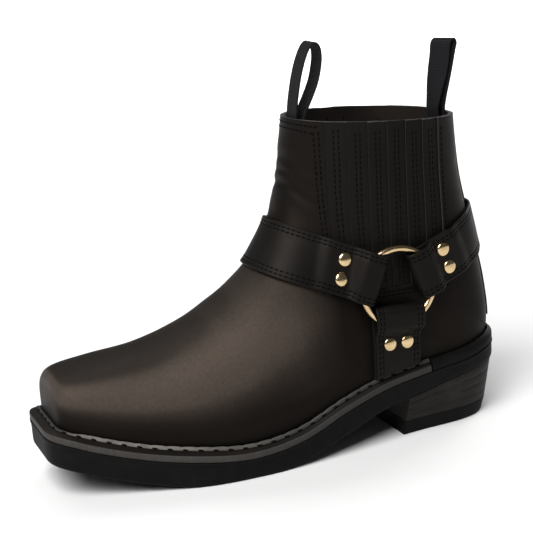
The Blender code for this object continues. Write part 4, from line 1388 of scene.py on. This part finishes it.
def build_loop(name, rows, edge, inward, twist):
    """Tape loop in the boot's middle plane. Its legs lie inside the collar, and twist turns it above that."""
    start = edge[0] * MM + inward * (WALL + GAP + TAPE_CLEAR + TAPE_THICK / 2)
    places = np.linspace(0, len(rows) - 1, TAPE_STEPS * len(rows))
    away, up = smooth_rows(rows, places).T[..., None]
    turn = twist * ease(0, TAPE_TURNED, up)
    shares = np.array(TAPE_ACROSS)
    across = shares * TAPE_WIDTH / 2
    forward = start + inward * away * MM + across * np.sin(turn)
    height = np.broadcast_to((edge[1] + up) * MM, forward.shape)
    grid = np.stack([forward, across * np.cos(turn), height], -1)
    half = np.interp(abs(shares), *zip(*TAPE_HALF)) * TAPE_THICK
    shift = grid_normals(grid) * half[:, None]
    band(name + "_tape", sandwich(grid + shift, grid - shift), "tape", "loop_tape", name)


# Stage


def build_stage():
    bpy.ops.mesh.primitive_plane_add(size=FLOOR_SIZE, location=(0, 0, 0))
    floor = bpy.context.object
    floor.name = "floor"
    floor.data.materials.append(floor_paint())
    scene = bpy.context.scene
    world = bpy.data.worlds.new("studio")
    world.use_nodes = True
    background = world.node_tree.nodes["Background"].inputs
    background["Color"].default_value = (1, 1, 1, 1)
    background["Strength"].default_value = WORLD_STRENGTH
    scene.world = world
    scene.view_settings.view_transform = "Standard"
    for softbox in SOFTBOXES:
        add_softbox(*softbox)


def add_softbox(name, power, size, spread, spot, target):
    """Square area light that looks at a target, with a grid that keeps its light within the spread."""
    light = bpy.data.lights.new(name, "AREA")
    light.energy = power
    light.size = size
    light.spread = math.radians(spread)
    made = bpy.data.objects.new(name, light)
    back = unit(np.array(spot) - np.array(target))
    right = unit(np.cross((0, 1, 0), back))
    made.matrix_world = look_matrix(spot, right, np.cross(back, right), back)
    bpy.context.scene.collection.objects.link(made)


def look_matrix(spot, right, up, back):
    columns = np.eye(4)
    columns[:3] = np.stack([right, up, back, spot], axis=1)
    return Matrix(columns.tolist())


def build_camera():
    camera = bpy.data.cameras.new("camera")
    camera.sensor_width = CAMERA_SENSOR
    camera.lens = CAMERA_LENS
    yaw, pitch, roll = CAMERA_YAW, CAMERA_PITCH, CAMERA_ROLL
    ahead = np.array((math.sin(yaw) * math.cos(pitch), math.cos(yaw) * math.cos(pitch), -math.sin(pitch)))
    level = np.array((math.cos(yaw), -math.sin(yaw), 0))
    right = level * math.cos(roll) + np.cross(level, ahead) * math.sin(roll)
    made = bpy.data.objects.new("camera", camera)
    made.matrix_world = look_matrix(CAMERA_AT, right, np.cross(right, ahead), -ahead)
    bpy.context.scene.collection.objects.link(made)
    bpy.context.scene.camera = made


def main():
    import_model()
    build_upper()
    for word, side in SIDES:
        build_gusset(word, side)
        build_side_strap(word, side)
        build_ring(word, side)
    build_panel_stitches()
    build_lining_stitches()
    build_backstay()
    build_welt()
    build_rand()
    build_outsole()
    build_insole()
    build_heel()
    build_round_strap("instep", 0.0)
    build_round_strap("heel", HEEL_STRAP_RISE)
    build_rivets()
    build_loop("pull_loop_front", FRONT_LOOP, LAST[-1][:2], -1, 0.0)
    build_loop("pull_loop_back", BACK_LOOP, LAST[-1][2:4], 1, BACK_LOOP_TWIST)
    build_stage()
    build_camera()


main()
